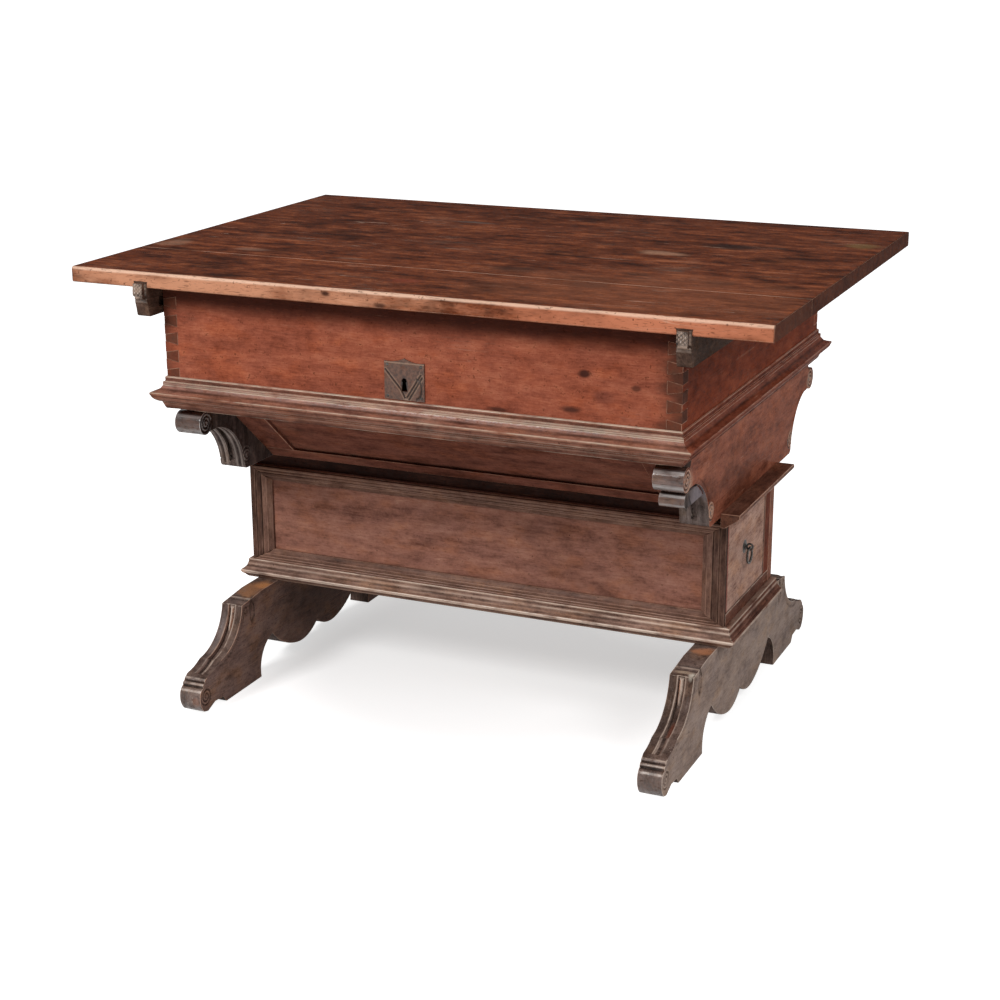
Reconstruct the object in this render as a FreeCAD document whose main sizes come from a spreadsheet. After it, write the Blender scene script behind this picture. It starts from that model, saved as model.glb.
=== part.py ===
"""Rent table: a sliding top over a locked money well, a canted trough between two scrolled
consoles, a lower box with a drawer hidden in its right end, and two scrolled trestle feet.

Millimetres, +Z up. The origin is on the floor under the middle of the table. X runs along
the table, the front with the lock faces -Y, and the drawer opens towards +X.
"""
import FreeCAD
import Part
import Sketcher
import os
from dataclasses import dataclass
from types import SimpleNamespace

V = FreeCAD.Vector

SIZES = {
    # Heights, from the floor up
    "trestle_height": 165,
    "lower_height": 215,
    "waist_height": 25,
    "trough_height": 143,
    "box_height": 210,
    "lid_gap": 0.4,
    "top_thickness": 26,
    # Table top
    "top_length": 1200,
    "top_depth": 880,
    "front_board_depth": 206,
    "edge_round": 5,
    "under_ease": 1.7,
    # Cross battens under the top
    "batten_thickness": 24,
    "batten_height": 48,
    "batten_gap": 2,
    "tongue_height": 10,
    "tongue_root": 20,
    "tongue_crown": 26,
    "head_projection": 12,
    "head_rise": 8,
    "head_chin": 17,
    "head_neck": 20,
    "head_slope": 4,
    # Rails on the box ends and the slide of the top
    "rail_depth": 10,
    "rail_height": 14,
    "rail_lift": 13,
    "rail_rear_margin": 12,
    "groove_margin": 33,
    "top_travel": 400,
    "slide_clearance": 0.8,
    # Upper box
    "carcase_length": 904,
    "box_depth": 784,
    "box_wall": 25,
    "pin_margin": 30,
    "pin_outer": 12,
    "pin_root": 22,
    "ledge_thickness": 18,
    # Moulding round the foot of the upper box
    "crown_height": 55,
    "crown_bead": 3,
    "crown_bead_height": 9,
    "crown_step": 6,
    "crown_step_height": 6,
    "crown_nose": 23,
    "crown_nose_lift": 26,
    "crown_nose_height": 3,
    "crown_cove": 8,
    "crown_cove_lift": 12,
    "crown_hollow": 2,
    # Key plate, lock and keeper
    "plate_width": 70,
    "plate_shift": 8.5,
    "plate_height": 62,
    "plate_peak": 6,
    "plate_thickness": 2,
    "plate_rise": 2,
    "plate_swag": 3,
    "keyhole_lift": 14,
    "keyhole_height": 22,
    "keyhole_round": 4.25,
    "keyhole_waist": 3,
    "keyhole_flare": 5.5,
    "keyhole_neck": 3,
    "nail_radius": 1.1,
    "nail_head_radius": 2.6,
    "nail_head_height": 1.2,
    "nail_length": 14,
    "nail_inset": 5.5,
    "nail_fit": 0.05,
    "lock_width": 110,
    "lock_height": 112,
    "lock_depth": 22,
    "lock_lift": 50,
    "keyway_depth": 17.6,
    "bolt_width": 24,
    "bolt_thickness": 8,
    "bolt_setback": 7,
    "bolt_tail": 58,
    "bolt_throw": 10,
    "bolt_fit": 0.1,
    "bolt_drop": 3,
    "keeper_width": 60,
    "keeper_depth": 30,
    "keeper_thickness": 2,
    "mortise_play": 2,
    # Scrolled consoles
    "console_thickness": 50,
    "roll_radius": 20,
    "roll_setback": 34,
    "roll_drop": 31,
    "shaft_step": 40,
    "shaft_drop": 17,
    "shaft_foot": 240,
    "shaft_hollow": 13.5,
    "shaft_round": 9,
    "shaft_groove": 6,
    "shaft_groove_width": 10,
    "small_roll_radius": 12,
    "small_roll_drop": 37,
    "small_roll_setback": 12,
    # Canted trough
    "trough_top_reach": 312,
    "trough_foot_reach": 142,
    "trough_wall": 33,
    "trough_top_rail_height": 28,
    "trough_bottom_rail_height": 22,
    "trough_stile_width": 58,
    "trough_panel_recess": 9,
    "waist_depth": 250,
    "waist_strip_front": 180,
    "waist_strip_rear": 147,
    "waist_strip_depth": 33,
    "waist_strip_height": 25,
    "waist_strip_lip": 7,
    "waist_strip_root": 8,
    "waist_strip_rise": 7,
    # Lower box
    "lower_depth": 284,
    "lower_wall": 24,
    "lower_end_wall": 22,
    "strip_thickness": 10,
    "strip_side_width": 42,
    "strip_top_width": 25,
    "strip_bottom_width": 23,
    "strip_bead": 9,
    "strip_bead_drop": 4,
    "strip_groove": 3.2,
    "strip_groove_depth": 2.6,
    "lower_floor": 24,
    "end_rail_height": 55,
    "rear_post_width": 30,
    # Base moulding
    "base_height": 35,
    "base_ledge": 11,
    "base_ledge_height": 6,
    "base_nose": 22,
    "base_nose_lift": 11,
    "base_nose_height": 4,
    "base_foot": 11,
    "base_hollow": 1.5,
    # Drawer
    "drawer_gap": 1,
    "drawer_seat_gap": 0.3,
    "drawer_length": 642,
    "drawer_side_thickness": 12,
    "drawer_side_height": 120,
    "drawer_floor": 10,
    "drawer_floor_lift": 3,
    "runner_width": 26,
    "guide_height": 80,
    # Ring handle
    "ring_radius": 13.5,
    "ring_wire": 1.9,
    "ring_drop": 68,
    "ring_middle": -34,
    "eye_radius": 5.2,
    "eye_wire": 1.6,
    "shank_radius": 1.4,
    "rosette_radius": 12,
    "rosette_crown": 6,
    "rosette_thickness": 2.5,
    "shank_fit": 0.05,
    # Trestle feet
    "trestle_thickness": 42,
    "trestle_inset": 8,
    "trestle_top_half": 200,
    "shoulder_length": 70,
    "shoulder_drop": 7,
    "toe_reach": 420,
    "toe_height": 71,
    "toe_front_height": 42.6,
    "toe_band_rise": 3,
    "toe_length": 32,
    "toe_lift": 5,
    "toe_curl": 12,
    "instep_length": 38,
    "instep_rise": 11,
    "leg_hollow": 13.5,
    "arch_front": 48,
    "arch_height": 14,
    "heel_setback": 85,
    "heel_bevel": 10,
    "heel_rise": 12,
    "sole_length": 123,
    "leg_back_bulge": 8,
    "leg_back_height": 44.8,
    "cusp_setback": 44,
    "cusp_height": 70,
    "lobe_middle": 120,
    "lobe_middle_height": 34,
    "lobe_tip": 68,
    "lobe_tip_height": 18,
    "apron_middle": 30,
    "apron_middle_height": 22,
    "apron_peak": 38,
    "reed_groove": 6,
    "reed_groove_width": 12,
}
PIN_COUNT = 6
TOE_BANDS = 3
STRIP_GROOVES = 2
# Depth of a quarter round at its middle, as a share of its radius
ROUND_SHARE = 0.293
# Side of a forged octagon bar, as a share of its half width, halved
OCTAGON_SHARE = 0.414
# Where a roll meets its neck, as shares of its radius across and up
NECK_ACROSS, NECK_UP = 0.6, 0.8

doc = FreeCAD.newDocument("RentTable")
sheet = doc.addObject("Spreadsheet::Sheet", "Sizes")
for row, (alias, number) in enumerate(SIZES.items(), start=1):
    sheet.set(f"A{row}", alias)
    sheet.set(f"B{row}", str(number))
    sheet.setAlias(f"B{row}", alias)
doc.recompute()

SUB_PARTS = []
CUTS = []


class Dim:
    """A length kept both as a number and as the sheet formula that gives it."""

    def __init__(self, number, formula):
        self.number = float(number)
        self.formula = formula

    @staticmethod
    def of(value):
        return value if isinstance(value, Dim) else Dim(value, repr(float(value)))

    def join(self, sign, other, number):
        return Dim(number, f"({self.formula} {sign} {other.formula})")

    def __add__(self, other):
        other = Dim.of(other)
        return self.join("+", other, self.number + other.number)

    def __sub__(self, other):
        other = Dim.of(other)
        return self.join("-", other, self.number - other.number)

    def __mul__(self, other):
        other = Dim.of(other)
        return self.join("*", other, self.number * other.number)

    def __truediv__(self, other):
        other = Dim.of(other)
        return self.join("/", other, self.number / other.number)

    def __radd__(self, other):
        return Dim.of(other) + self

    def __rsub__(self, other):
        return Dim.of(other) - self

    def __rmul__(self, other):
        return Dim.of(other) * self

    def __neg__(self):
        return Dim(-self.number, f"(-1 * {self.formula})")


@dataclass
class Arc:
    """A round stretch of an outline through a point to its end."""

    via: tuple
    end: tuple


def bind(item, prop, value):
    """Tie a property to the sheet."""
    item.setExpression(prop, Dim.of(value).formula)


def same(a, b):
    """Say whether two outline points lie on each other."""
    return all(abs(Dim.of(p).number - Dim.of(q).number) < 1e-9 for p, q in zip(a, b))


def stretches(outline):
    """Split a closed outline into (start, via or None, end) pieces."""
    pieces = []
    here = outline[0]
    for step in outline[1:]:
        via, end = (step.via, step.end) if isinstance(step, Arc) else (None, step)
        pieces.append((here, via, end))
        here = end
    if not same(here, outline[0]):
        pieces.append((here, None, outline[0]))
    return pieces


def flip(point):
    """Mirror an outline point in the upright axis."""
    return (-Dim.of(point[0]), point[1])


def mirrored(outline):
    """Mirror a whole outline in the upright axis."""
    return [Arc(flip(s.via), flip(s.end)) if isinstance(s, Arc) else flip(s) for s in outline]


def both_halves(half):
    """Complete the outline of a symmetric piece from its +Y half."""
    ends = [s.end if isinstance(s, Arc) else s for s in half]
    full = list(half)
    if not same(ends[-1], flip(ends[-1])):
        full.append(flip(ends[-1]))
    for index in range(len(half) - 1, 0, -1):
        step = half[index]
        back = flip(ends[index - 1])
        full.append(Arc(flip(step.via), back) if isinstance(step, Arc) else back)
    return full


def rectangle(low, high):
    """Outline of a rectangle between two corners."""
    return [low, (high[0], low[1]), high, (low[0], high[1])]


def vector(point):
    return V(Dim.of(point[0]).number, Dim.of(point[1]).number, 0)


def draw(sketch, outline):
    """Draw a closed outline with every corner tied to the sheet."""
    rules = []
    tied = []

    def pin(geometry, end, point):
        for rule, value in zip(("DistanceX", "DistanceY"), point):
            value = Dim.of(value)
            tied.append((len(rules), value.formula))
            rules.append(Sketcher.Constraint(rule, -1, 1, geometry, end, value.number))

    pieces = stretches(outline)
    ends = []
    for start, via, end in pieces:
        if via is None:
            geometry = sketch.addGeometry(Part.LineSegment(vector(start), vector(end)), False)
        else:
            arc = Part.ArcOfCircle(vector(start), vector(via), vector(end))
            geometry = sketch.addGeometry(arc, False)
        gap = sketch.getPoint(geometry, 1) - vector(start)
        ends.append((geometry, 1, 2) if gap.Length < 1e-6 else (geometry, 2, 1))
    for index, (start, via, end) in enumerate(pieces):
        geometry, first, last = ends[index]
        before = ends[index - 1]
        pin(geometry, first, start)
        rules.append(Sketcher.Constraint("Coincident", before[0], before[2], geometry, first))
        if via is not None:
            mark = sketch.addGeometry(Part.Point(vector(via)), True)
            pin(mark, 1, via)
            rules.append(Sketcher.Constraint("PointOnObject", mark, 1, geometry))
    first_rule = sketch.ConstraintCount
    sketch.addConstraint(rules)
    for index, formula in tied:
        sketch.setExpression(f"Constraints[{first_rule + index}]", formula)


def sketch_on(body, axis, place, outlines):
    """Sketch square to an axis of the body, at a place along that axis."""
    role = {"X": "YZ_Plane", "Y": "XZ_Plane", "Z": "XY_Plane"}[axis]
    plane = next(item for item in body.Origin.OriginFeatures if item.Role == role)
    sketch = body.newObject("Sketcher::SketchObject", f"{body.Name}_sketch")
    sketch.AttachmentSupport = [(plane, "")]
    sketch.MapMode = "FlatFace"
    offset = -Dim.of(place) if axis == "Y" else Dim.of(place)
    bind(sketch, "AttachmentOffset.Base.z", offset)
    for outline in outlines:
        draw(sketch, outline)
    return sketch


def new_body(label):
    body = doc.addObject("PartDesign::Body", label)
    body.Label = label
    SUB_PARTS.append(body)
    return body


def pad(body, axis, outlines, start, end):
    """Add a straight length of the outlines between two places on an axis."""
    start, end = Dim.of(start), Dim.of(end)
    sketch = sketch_on(body, axis, end if axis == "Y" else start, outlines)
    feature = body.newObject("PartDesign::Pad", f"{body.Name}_pad")
    feature.Profile = sketch
    bind(feature, "Length", end - start)
    return feature


def cut(body, axis, outlines, start, end):
    """Take the outlines out of a body between two places on an axis."""
    start, end = Dim.of(start), Dim.of(end)
    before = body.Tip
    sketch = sketch_on(body, axis, start if axis == "Y" else end, outlines)
    feature = body.newObject("PartDesign::Pocket", f"{body.Name}_cut")
    feature.Profile = sketch
    bind(feature, "Length", end - start)
    CUTS.append((before, feature))
    return feature


def repeat_up(body, feature, rise, count):
    """Repeat a feature upwards over a height."""
    pattern = body.newObject("PartDesign::LinearPattern", f"{body.Name}_row")
    pattern.Originals = [feature]
    upright = next(item for item in body.Origin.OriginFeatures if item.Role == "Z_Axis")
    pattern.Direction = (upright, [""])
    bind(pattern, "Length", rise)
    pattern.Occurrences = count
    body.Tip = pattern
    return pattern


def prism(label, axis, outline, start, end):
    """A body of one section along an axis."""
    body = new_body(label)
    pad(body, axis, [outline], start, end)
    return body


def board(label, x, y, z):
    """A plain squared board between pairs of places on the three axes."""
    box = doc.addObject("Part::Box", label)
    box.Label = label
    for (low, high), size, place in zip((x, y, z), ("Length", "Width", "Height"), "xyz"):
        bind(box, size, Dim.of(high) - low)
        bind(box, f"Placement.Base.{place}", low)
    SUB_PARTS.append(box)
    return box


def span(side, low, high):
    """A stretch of X or Y on the positive or the negative side."""
    return (Dim.of(low), Dim.of(high)) if side > 0 else (-Dim.of(high), -Dim.of(low))


def on_side(side, outline):
    return outline if side > 0 else mirrored(outline)


def round_bar(name, radius, height, base, turn):
    """A cylinder that stands on a point and is turned to its axis."""
    bar = doc.addObject("Part::Cylinder", name)
    bind(bar, "Radius", radius)
    bind(bar, "Height", height)
    bar.Placement.Rotation = turn
    for value, place in zip(base, "xyz"):
        bind(bar, f"Placement.Base.{place}", value)
    return bar


def forged_ring(name, radius, half, middle, turn):
    """A ring of eight-sided forged bar round a point, turned to its axis."""
    body = doc.addObject("PartDesign::Body", name)
    body.Label = name
    edge = half * OCTAGON_SHARE
    corners = [(half, -edge), (half, edge), (edge, half), (-edge, half)]
    corners += [(-out, -up) for out, up in corners]
    sketch = sketch_on(body, "Y", 0, [[(radius + out, up) for out, up in corners]])
    ring = body.newObject("PartDesign::Revolution", f"{name}_turned")
    ring.Profile = sketch
    ring.ReferenceAxis = (sketch, ["V_Axis"])
    ring.Angle = 360
    body.Placement.Rotation = turn
    for value, place in zip(middle, "xyz"):
        bind(body, f"Placement.Base.{place}", value)
    return body


s = SimpleNamespace(**{alias: Dim(number, f"Sizes.{alias}") for alias, number in SIZES.items()})

# Heights of the joints between the storeys
lower_z = s.trestle_height
waist_z = lower_z + s.lower_height
trough_z = waist_z + s.waist_height
box_z = trough_z + s.trough_height
rim_z = box_z + s.box_height
under_z = rim_z + s.lid_gap
top_z = under_z + s.top_thickness

# Half lengths and faces
end_x = s.carcase_length / 2
box_y = s.box_depth / 2
well_x = end_x - s.box_wall
well_y = box_y - s.box_wall
top_rear = (s.top_depth + s.head_projection) / 2
top_front = top_rear - s.top_depth
board_joint = top_front + s.front_board_depth
batten_in = end_x + s.batten_gap
batten_out = batten_in + s.batten_thickness
batten_z = under_z - s.batten_height
rail_low = batten_z + s.rail_lift
rail_high = rail_low + s.rail_height
rail_rear = box_y - s.rail_rear_margin
groove_front = top_front + s.groove_margin
rail_front = groove_front + s.top_travel + s.slide_clearance


def batten_tongue(side):
    """Section of the sliding dovetail that ties a batten to the top."""
    middle = batten_in + s.batten_thickness / 2
    root, crown = s.tongue_root / 2, s.tongue_crown / 2
    crest = under_z + s.tongue_height
    return on_side(side, [
        (middle - root, under_z),
        (middle + root, under_z),
        (middle + crown, crest),
        (middle - crown, crest),
    ])


def mortise():
    """Plan of the hole that takes the raised lock bolt."""
    half = s.bolt_width / 2 + s.mortise_play
    middle = bolt_front + s.bolt_thickness / 2
    reach = s.bolt_thickness / 2 + s.mortise_play
    return rectangle((-half, middle - reach), (half, middle + reach))


def make_top():
    """Two top boards, their cross battens and the keeper of the lock."""
    half = s.top_length / 2
    soft = s.edge_round
    bend = soft * ROUND_SHARE
    ease = s.under_ease
    front_section = [
        (top_front + ease, under_z),
        (board_joint, under_z),
        (board_joint, top_z),
        (top_front + soft, top_z),
        Arc((top_front + bend, top_z - bend), (top_front, top_z - soft)),
        (top_front, under_z + ease),
    ]
    rear_section = [
        (board_joint, under_z),
        (top_rear - ease, under_z),
        (top_rear, under_z + ease),
        (top_rear, top_z - soft),
        Arc((top_rear - bend, top_z - bend), (top_rear - soft, top_z)),
        (board_joint, top_z),
    ]
    front = prism("top_front_board", "X", front_section, -half, half)
    rear = prism("top_rear_board", "X", rear_section, -half, half)
    for body, start, end in ((front, top_front, board_joint), (rear, board_joint, top_rear)):
        for side in (-1, 1):
            cut(body, "Y", [batten_tongue(side)], start, end)
    keeper_half = s.keeper_width / 2
    keeper_middle = bolt_front + s.bolt_thickness / 2
    keeper_plan = rectangle(
        (-keeper_half, keeper_middle - s.keeper_depth / 2),
        (keeper_half, keeper_middle + s.keeper_depth / 2),
    )
    keeper_top = under_z + s.keeper_thickness
    cut(front, "Z", [keeper_plan], under_z, keeper_top)
    raised = rim_z - s.bolt_drop + s.bolt_throw + s.mortise_play
    plan = mortise()
    cut(front, "Z", [plan], keeper_top, raised)
    keeper = prism("keeper_plate", "Z", keeper_plan, under_z, keeper_top)
    cut(keeper, "Z", [plan], under_z, keeper_top)
    for side, name in ((-1, "left"), (1, "right")):
        make_batten(f"batten_{name}", side)


def make_batten(label, side):
    """A cross batten with its carved head, dovetail tongue and slide groove."""
    brow = top_front - s.head_projection
    outline = [
        (top_rear, batten_z),
        (top_rear, under_z),
        (top_front, under_z),
        (top_front, under_z + s.head_rise),
        (brow + s.head_slope / 2, under_z + s.head_rise),
        (brow, under_z - s.head_rise),
        (brow + s.head_slope / 2, under_z - s.head_chin),
        (top_front - s.head_slope / 2, under_z - s.head_neck),
        (top_front + s.head_slope / 2, batten_z + s.rail_lift),
        (top_front + s.head_slope, batten_z + s.head_slope / 2),
        (top_front + s.head_slope * 1.5, batten_z),
    ]
    body = prism(label, "X", outline, *span(side, batten_in, batten_out))
    pad(body, "Y", [batten_tongue(side)], top_front, top_rear)
    groove = rectangle(
        (groove_front, rail_low - s.slide_clearance),
        (top_rear, rail_high + s.slide_clearance),
    )
    groove_wall = end_x + s.rail_depth + s.slide_clearance
    cut(body, "X", [groove], *span(side, batten_in, groove_wall))


def pin_section(side):
    """Section of the lowest dovetail pin at one end of the box."""
    middle = box_z + s.pin_margin
    return on_side(side, [
        (well_x, middle - s.pin_root / 2),
        (end_x, middle - s.pin_outer / 2),
        (end_x, middle + s.pin_outer / 2),
        (well_x, middle + s.pin_root / 2),
    ])


def keyhole():
    """Outline of the keyhole: round head, narrow waist, flared foot."""
    foot = plate_z + s.keyhole_lift
    head = foot + s.keyhole_height - s.keyhole_round
    neck = head - s.keyhole_neck
    waist = s.keyhole_waist
    return [
        (plate_x - s.keyhole_flare, foot),
        (plate_x + s.keyhole_flare, foot),
        (plate_x + waist, neck),
        Arc((plate_x, head + s.keyhole_round), (plate_x - waist, neck)),
    ]


plate_x = -s.plate_shift
plate_z = box_z + s.crown_height + s.plate_rise
lock_z = box_z + s.lock_lift
bolt_front = -well_y + s.bolt_setback


def nail_places():
    """Middles of the four nails of the key plate, as X and Z."""
    across = s.plate_width / 2 - s.nail_inset
    low = plate_z + s.nail_inset
    high = plate_z + s.plate_height - s.nail_inset
    return [(plate_x + side * across, up) for up in (low, high) for side in (-1, 1)]


def circle(middle, radius):
    """Outline of a full circle as two arcs."""
    x, z = middle
    return [
        (x - radius, z),
        Arc((x, z - radius), (x + radius, z)),
        Arc((x, z + radius), (x - radius, z)),
    ]


def make_upper_box():
    """Dovetailed box of the money well, its ledges and the rails that hold the top."""
    rise = s.box_height - 2 * s.pin_margin
    face = rectangle((-end_x, box_z), (end_x, rim_z))
    for label, start, end in (("box_front", -box_y, -well_y), ("box_back", well_y, box_y)):
        body = prism(label, "Y", face, start, end)
        sockets = cut(body, "Y", [pin_section(-1), pin_section(1)], start, end)
        repeat_up(body, sockets, rise, PIN_COUNT)
        if label == "box_front":
            cut(body, "Y", [keyhole()], start, end)
            holes = [circle(place, s.nail_radius + s.nail_fit) for place in nail_places()]
            cut(body, "Y", holes, start, start + s.nail_length)
    for side, name in ((-1, "left"), (1, "right")):
        section = on_side(side, rectangle((well_x, box_z), (end_x, rim_z)))
        body = prism(f"box_{name}_end", "Y", section, -well_y, well_y)
        pins = pad(body, "Y", [pin_section(side)], -box_y, box_y)
        repeat_up(body, pins, rise, PIN_COUNT)
        board(
            f"guide_rail_{name}",
            span(side, end_x, end_x + s.rail_depth),
            (rail_front, rail_rear),
            (rail_low, rail_high),
        )
    inner = s.trough_top_reach - s.trough_wall
    for side, name in ((-1, "front"), (1, "back")):
        board(
            f"box_ledge_{name}",
            (-well_x, well_x),
            span(side, inner, well_y),
            (box_z, box_z + s.ledge_thickness),
        )


def crown_section():
    """Section of the box moulding: distance out from the box, and height."""
    top = box_z + s.crown_height
    bead_foot = top - s.crown_bead_height
    step_foot = bead_foot - s.crown_step_height
    nose_foot = box_z + s.crown_nose_lift
    nose_top = nose_foot + s.crown_nose_height
    cove = box_z + s.crown_cove_lift
    hollow = s.crown_hollow
    wash = ((s.crown_step + s.crown_nose) / 2 - hollow, (step_foot + nose_top) / 2 - hollow)
    ogee = ((s.crown_cove + s.crown_nose) / 2 + hollow, (cove + nose_foot) / 2 - hollow)
    return [
        (0, box_z),
        (s.crown_cove / 2, box_z),
        (s.crown_cove, cove),
        Arc(ogee, (s.crown_nose, nose_foot)),
        (s.crown_nose, nose_top),
        Arc(wash, (s.crown_step, step_foot)),
        (s.crown_step, bead_foot),
        (s.crown_bead, bead_foot),
        (s.crown_bead, top - s.crown_bead / 2),
        (s.crown_bead / 2, top),
        (0, top),
    ]


def base_section():
    """Section of the base moulding: distance out from the lower box, and height."""
    top = lower_z + s.base_height
    ledge_foot = top - s.base_ledge_height
    nose_foot = lower_z + s.base_nose_lift
    nose_top = nose_foot + s.base_nose_height
    hollow = s.base_hollow
    wash = ((s.base_ledge + s.base_nose) / 2 - hollow, (ledge_foot + nose_top) / 2 - hollow)
    return [
        (0, lower_z),
        (s.base_foot, lower_z),
        (s.base_nose, nose_foot),
        (s.base_nose, nose_top),
        Arc(wash, (s.base_ledge, ledge_foot)),
        (s.base_ledge, top),
        (0, top),
    ]


def pushed(outline, face, outward):
    """Place a moulding section against a face, pointing outward along -1 or 1."""
    def move(point):
        return (face + outward * Dim.of(point[0]), point[1])
    return [Arc(move(p.via), move(p.end)) if isinstance(p, Arc) else move(p) for p in outline]


def mitred_moulding(label, section, nose, axis, outward, face, low, high):
    """A length of moulding on a face, with mitres where low and high say so.

    low and high are (place of the corner, mitred or not) along the run of the moulding.
    """
    ends = []
    for (place, mitre), sign in ((low, -1), (high, 1)):
        ends.append(place + sign * nose if mitre else place)
    body = prism(label, axis, pushed(section, face, outward), *ends)
    for (place, mitre), sign in ((low, -1), (high, 1)):
        if not mitre:
            continue
        corner = (place, face)
        square = (place + sign * nose, face)
        tip = (place + sign * nose, face + outward * nose)
        waste = [corner, square, tip]
        if axis == "Y":
            waste = [(b, a) for a, b in waste]
        heights = [Dim.of(p.end[1] if isinstance(p, Arc) else p[1]) for p in section]
        floor = min(heights, key=lambda item: item.number)
        ceiling = max(heights, key=lambda item: item.number)
        cut(body, "Z", [waste], floor, ceiling)
    return body


def make_mouldings():
    """Mitred moulding round the upper box and along three sides of the lower box."""
    crown = crown_section()
    for side, name in ((-1, "front"), (1, "back")):
        mitred_moulding(
            f"box_moulding_{name}", crown, s.crown_nose, "X", side, side * box_y,
            (-end_x, True), (end_x, True),
        )
    for side, name in ((-1, "left"), (1, "right")):
        mitred_moulding(
            f"box_moulding_{name}", crown, s.crown_nose, "Y", side, side * end_x,
            (-box_y, True), (box_y, True),
        )
    base = base_section()
    mitred_moulding(
        "base_moulding_front", base, s.base_nose, "X", -1, lower_front,
        (-end_x, True), (end_x, True),
    )
    for side, name in ((-1, "left"), (1, "right")):
        mitred_moulding(
            f"base_moulding_{name}", base, s.base_nose, "Y", side, side * end_x,
            (lower_front, True), (lower_back, False),
        )


def make_lock():
    """Key plate with its nails, lock case and sliding bolt."""
    half = s.plate_width / 2
    shoulder = plate_z + s.plate_height
    dip = shoulder + s.plate_peak / 2 - s.plate_swag
    outline = [
        (plate_x - half, plate_z),
        (plate_x + half, plate_z),
        (plate_x + half, shoulder),
        Arc((plate_x + half / 2, dip), (plate_x, shoulder + s.plate_peak)),
        Arc((plate_x - half / 2, dip), (plate_x - half, shoulder)),
    ]
    plate_front = -box_y - s.plate_thickness
    plate = prism("escutcheon", "Y", outline, plate_front, -box_y)
    cut(plate, "Y", [keyhole()], plate_front, -box_y)
    holes = [circle(place, s.nail_radius + s.nail_fit) for place in nail_places()]
    cut(plate, "Y", holes, plate_front, -box_y)

    away = FreeCAD.Rotation(V(1, 0, 0), 90)
    nails = []
    for number, (x, z) in enumerate(nail_places(), start=1):
        back = -box_y + s.nail_length - s.plate_thickness
        reach = s.nail_length
        shank = round_bar(f"nail_shank_{number}", s.nail_radius, reach, (x, back, z), away)
        head = doc.addObject("Part::Cone", f"nail_head_{number}")
        bind(head, "Radius1", s.nail_head_radius)
        bind(head, "Radius2", s.nail_head_radius / 2)
        bind(head, "Height", s.nail_head_height)
        head.Placement.Rotation = away
        for value, place in zip((x, plate_front, z), "xyz"):
            bind(head, f"Placement.Base.{place}", value)
        nail = doc.addObject("Part::Fuse", f"nail_{number}")
        nail.Base, nail.Tool = shank, head
        nails.append(nail)
    group = doc.addObject("Part::Compound", "escutcheon_nails")
    group.Label = "escutcheon_nails"
    group.Links = nails
    SUB_PARTS.append(group)

    width = s.lock_width / 2
    lock_top = lock_z + s.lock_height
    case_back = -well_y + s.lock_depth
    case = prism("lock_case", "Y", rectangle((-width, lock_z), (width, lock_top)), -well_y, case_back)
    cut(case, "Y", [keyhole()], -well_y, -well_y + s.keyway_depth)
    bolt_half = s.bolt_width / 2
    bolt_back = bolt_front + s.bolt_thickness
    bolt_foot = lock_top - s.bolt_tail
    slot = rectangle(
        (-bolt_half - s.bolt_fit, bolt_front - s.bolt_fit),
        (bolt_half + s.bolt_fit, bolt_back + s.bolt_fit),
    )
    cut(case, "Z", [slot], bolt_foot - s.bolt_fit, lock_top)
    bolt_top = rim_z - s.bolt_drop
    chamfer = s.bolt_thickness / 2
    bolt_outline = [
        (-bolt_half, bolt_foot),
        (bolt_half, bolt_foot),
        (bolt_half, bolt_top - chamfer),
        (bolt_half - chamfer, bolt_top),
        (-bolt_half + chamfer, bolt_top),
        (-bolt_half, bolt_top - chamfer),
    ]
    prism("lock_bolt", "Y", bolt_outline, bolt_front, bolt_back)


def console_half():
    """The +Y half of a console's outline, from its top edge down to its foot."""
    roll_y = box_y - s.roll_setback
    roll_z = box_z - s.roll_drop
    radius = s.roll_radius
    neck_y = roll_y - radius * NECK_ACROSS
    shaft_top, shaft_mid, shaft_foot = shaft_points()
    foot_y = shaft_foot[0]
    quarter = s.shaft_round * ROUND_SHARE
    return [
        (roll_y - radius, box_z),
        (neck_y, roll_z + radius * NECK_UP),
        Arc((roll_y + radius, roll_z), (neck_y, roll_z - radius * NECK_UP)),
        shaft_top,
        Arc(shaft_mid, shaft_foot),
        Arc((foot_y - quarter, trough_z + quarter), (foot_y - s.shaft_round, trough_z)),
    ]


def shaft_points():
    """Top, hollow and foot of the scroll's shaft on the +Y side."""
    top = (box_y - s.roll_setback - s.shaft_step, box_z - s.roll_drop - s.shaft_drop)
    foot = (s.shaft_foot, trough_z + s.shaft_round)
    middle = (
        (top[0] + foot[0]) / 2 - s.shaft_hollow,
        (top[1] + foot[1]) / 2 + s.shaft_hollow,
    )
    return top, middle, foot


def sunk(points, depth):
    """A crescent between an arc and the same arc moved into the wood by a depth."""
    top, middle, foot = points
    moved = [(y - depth, z + depth) for y, z in points]
    return [top, Arc(middle, foot), moved[2], Arc(moved[1], moved[0])]


def make_consoles():
    """Two scrolled boards that close the ends of the trough."""
    for side, name in ((-1, "left"), (1, "right")):
        inner = end_x - s.console_thickness
        reach = span(side, inner, end_x)
        body = prism(f"console_{name}", "X", both_halves(console_half()), *reach)
        middle = (inner + end_x) / 2
        width = s.shaft_groove_width / 2
        groove = sunk(shaft_points(), s.shaft_groove)
        cut(body, "X", [groove, mirrored(groove)], *span(side, middle - width, middle + width))
        if side > 0:
            add_small_roll(body, inner, end_x)


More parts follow.
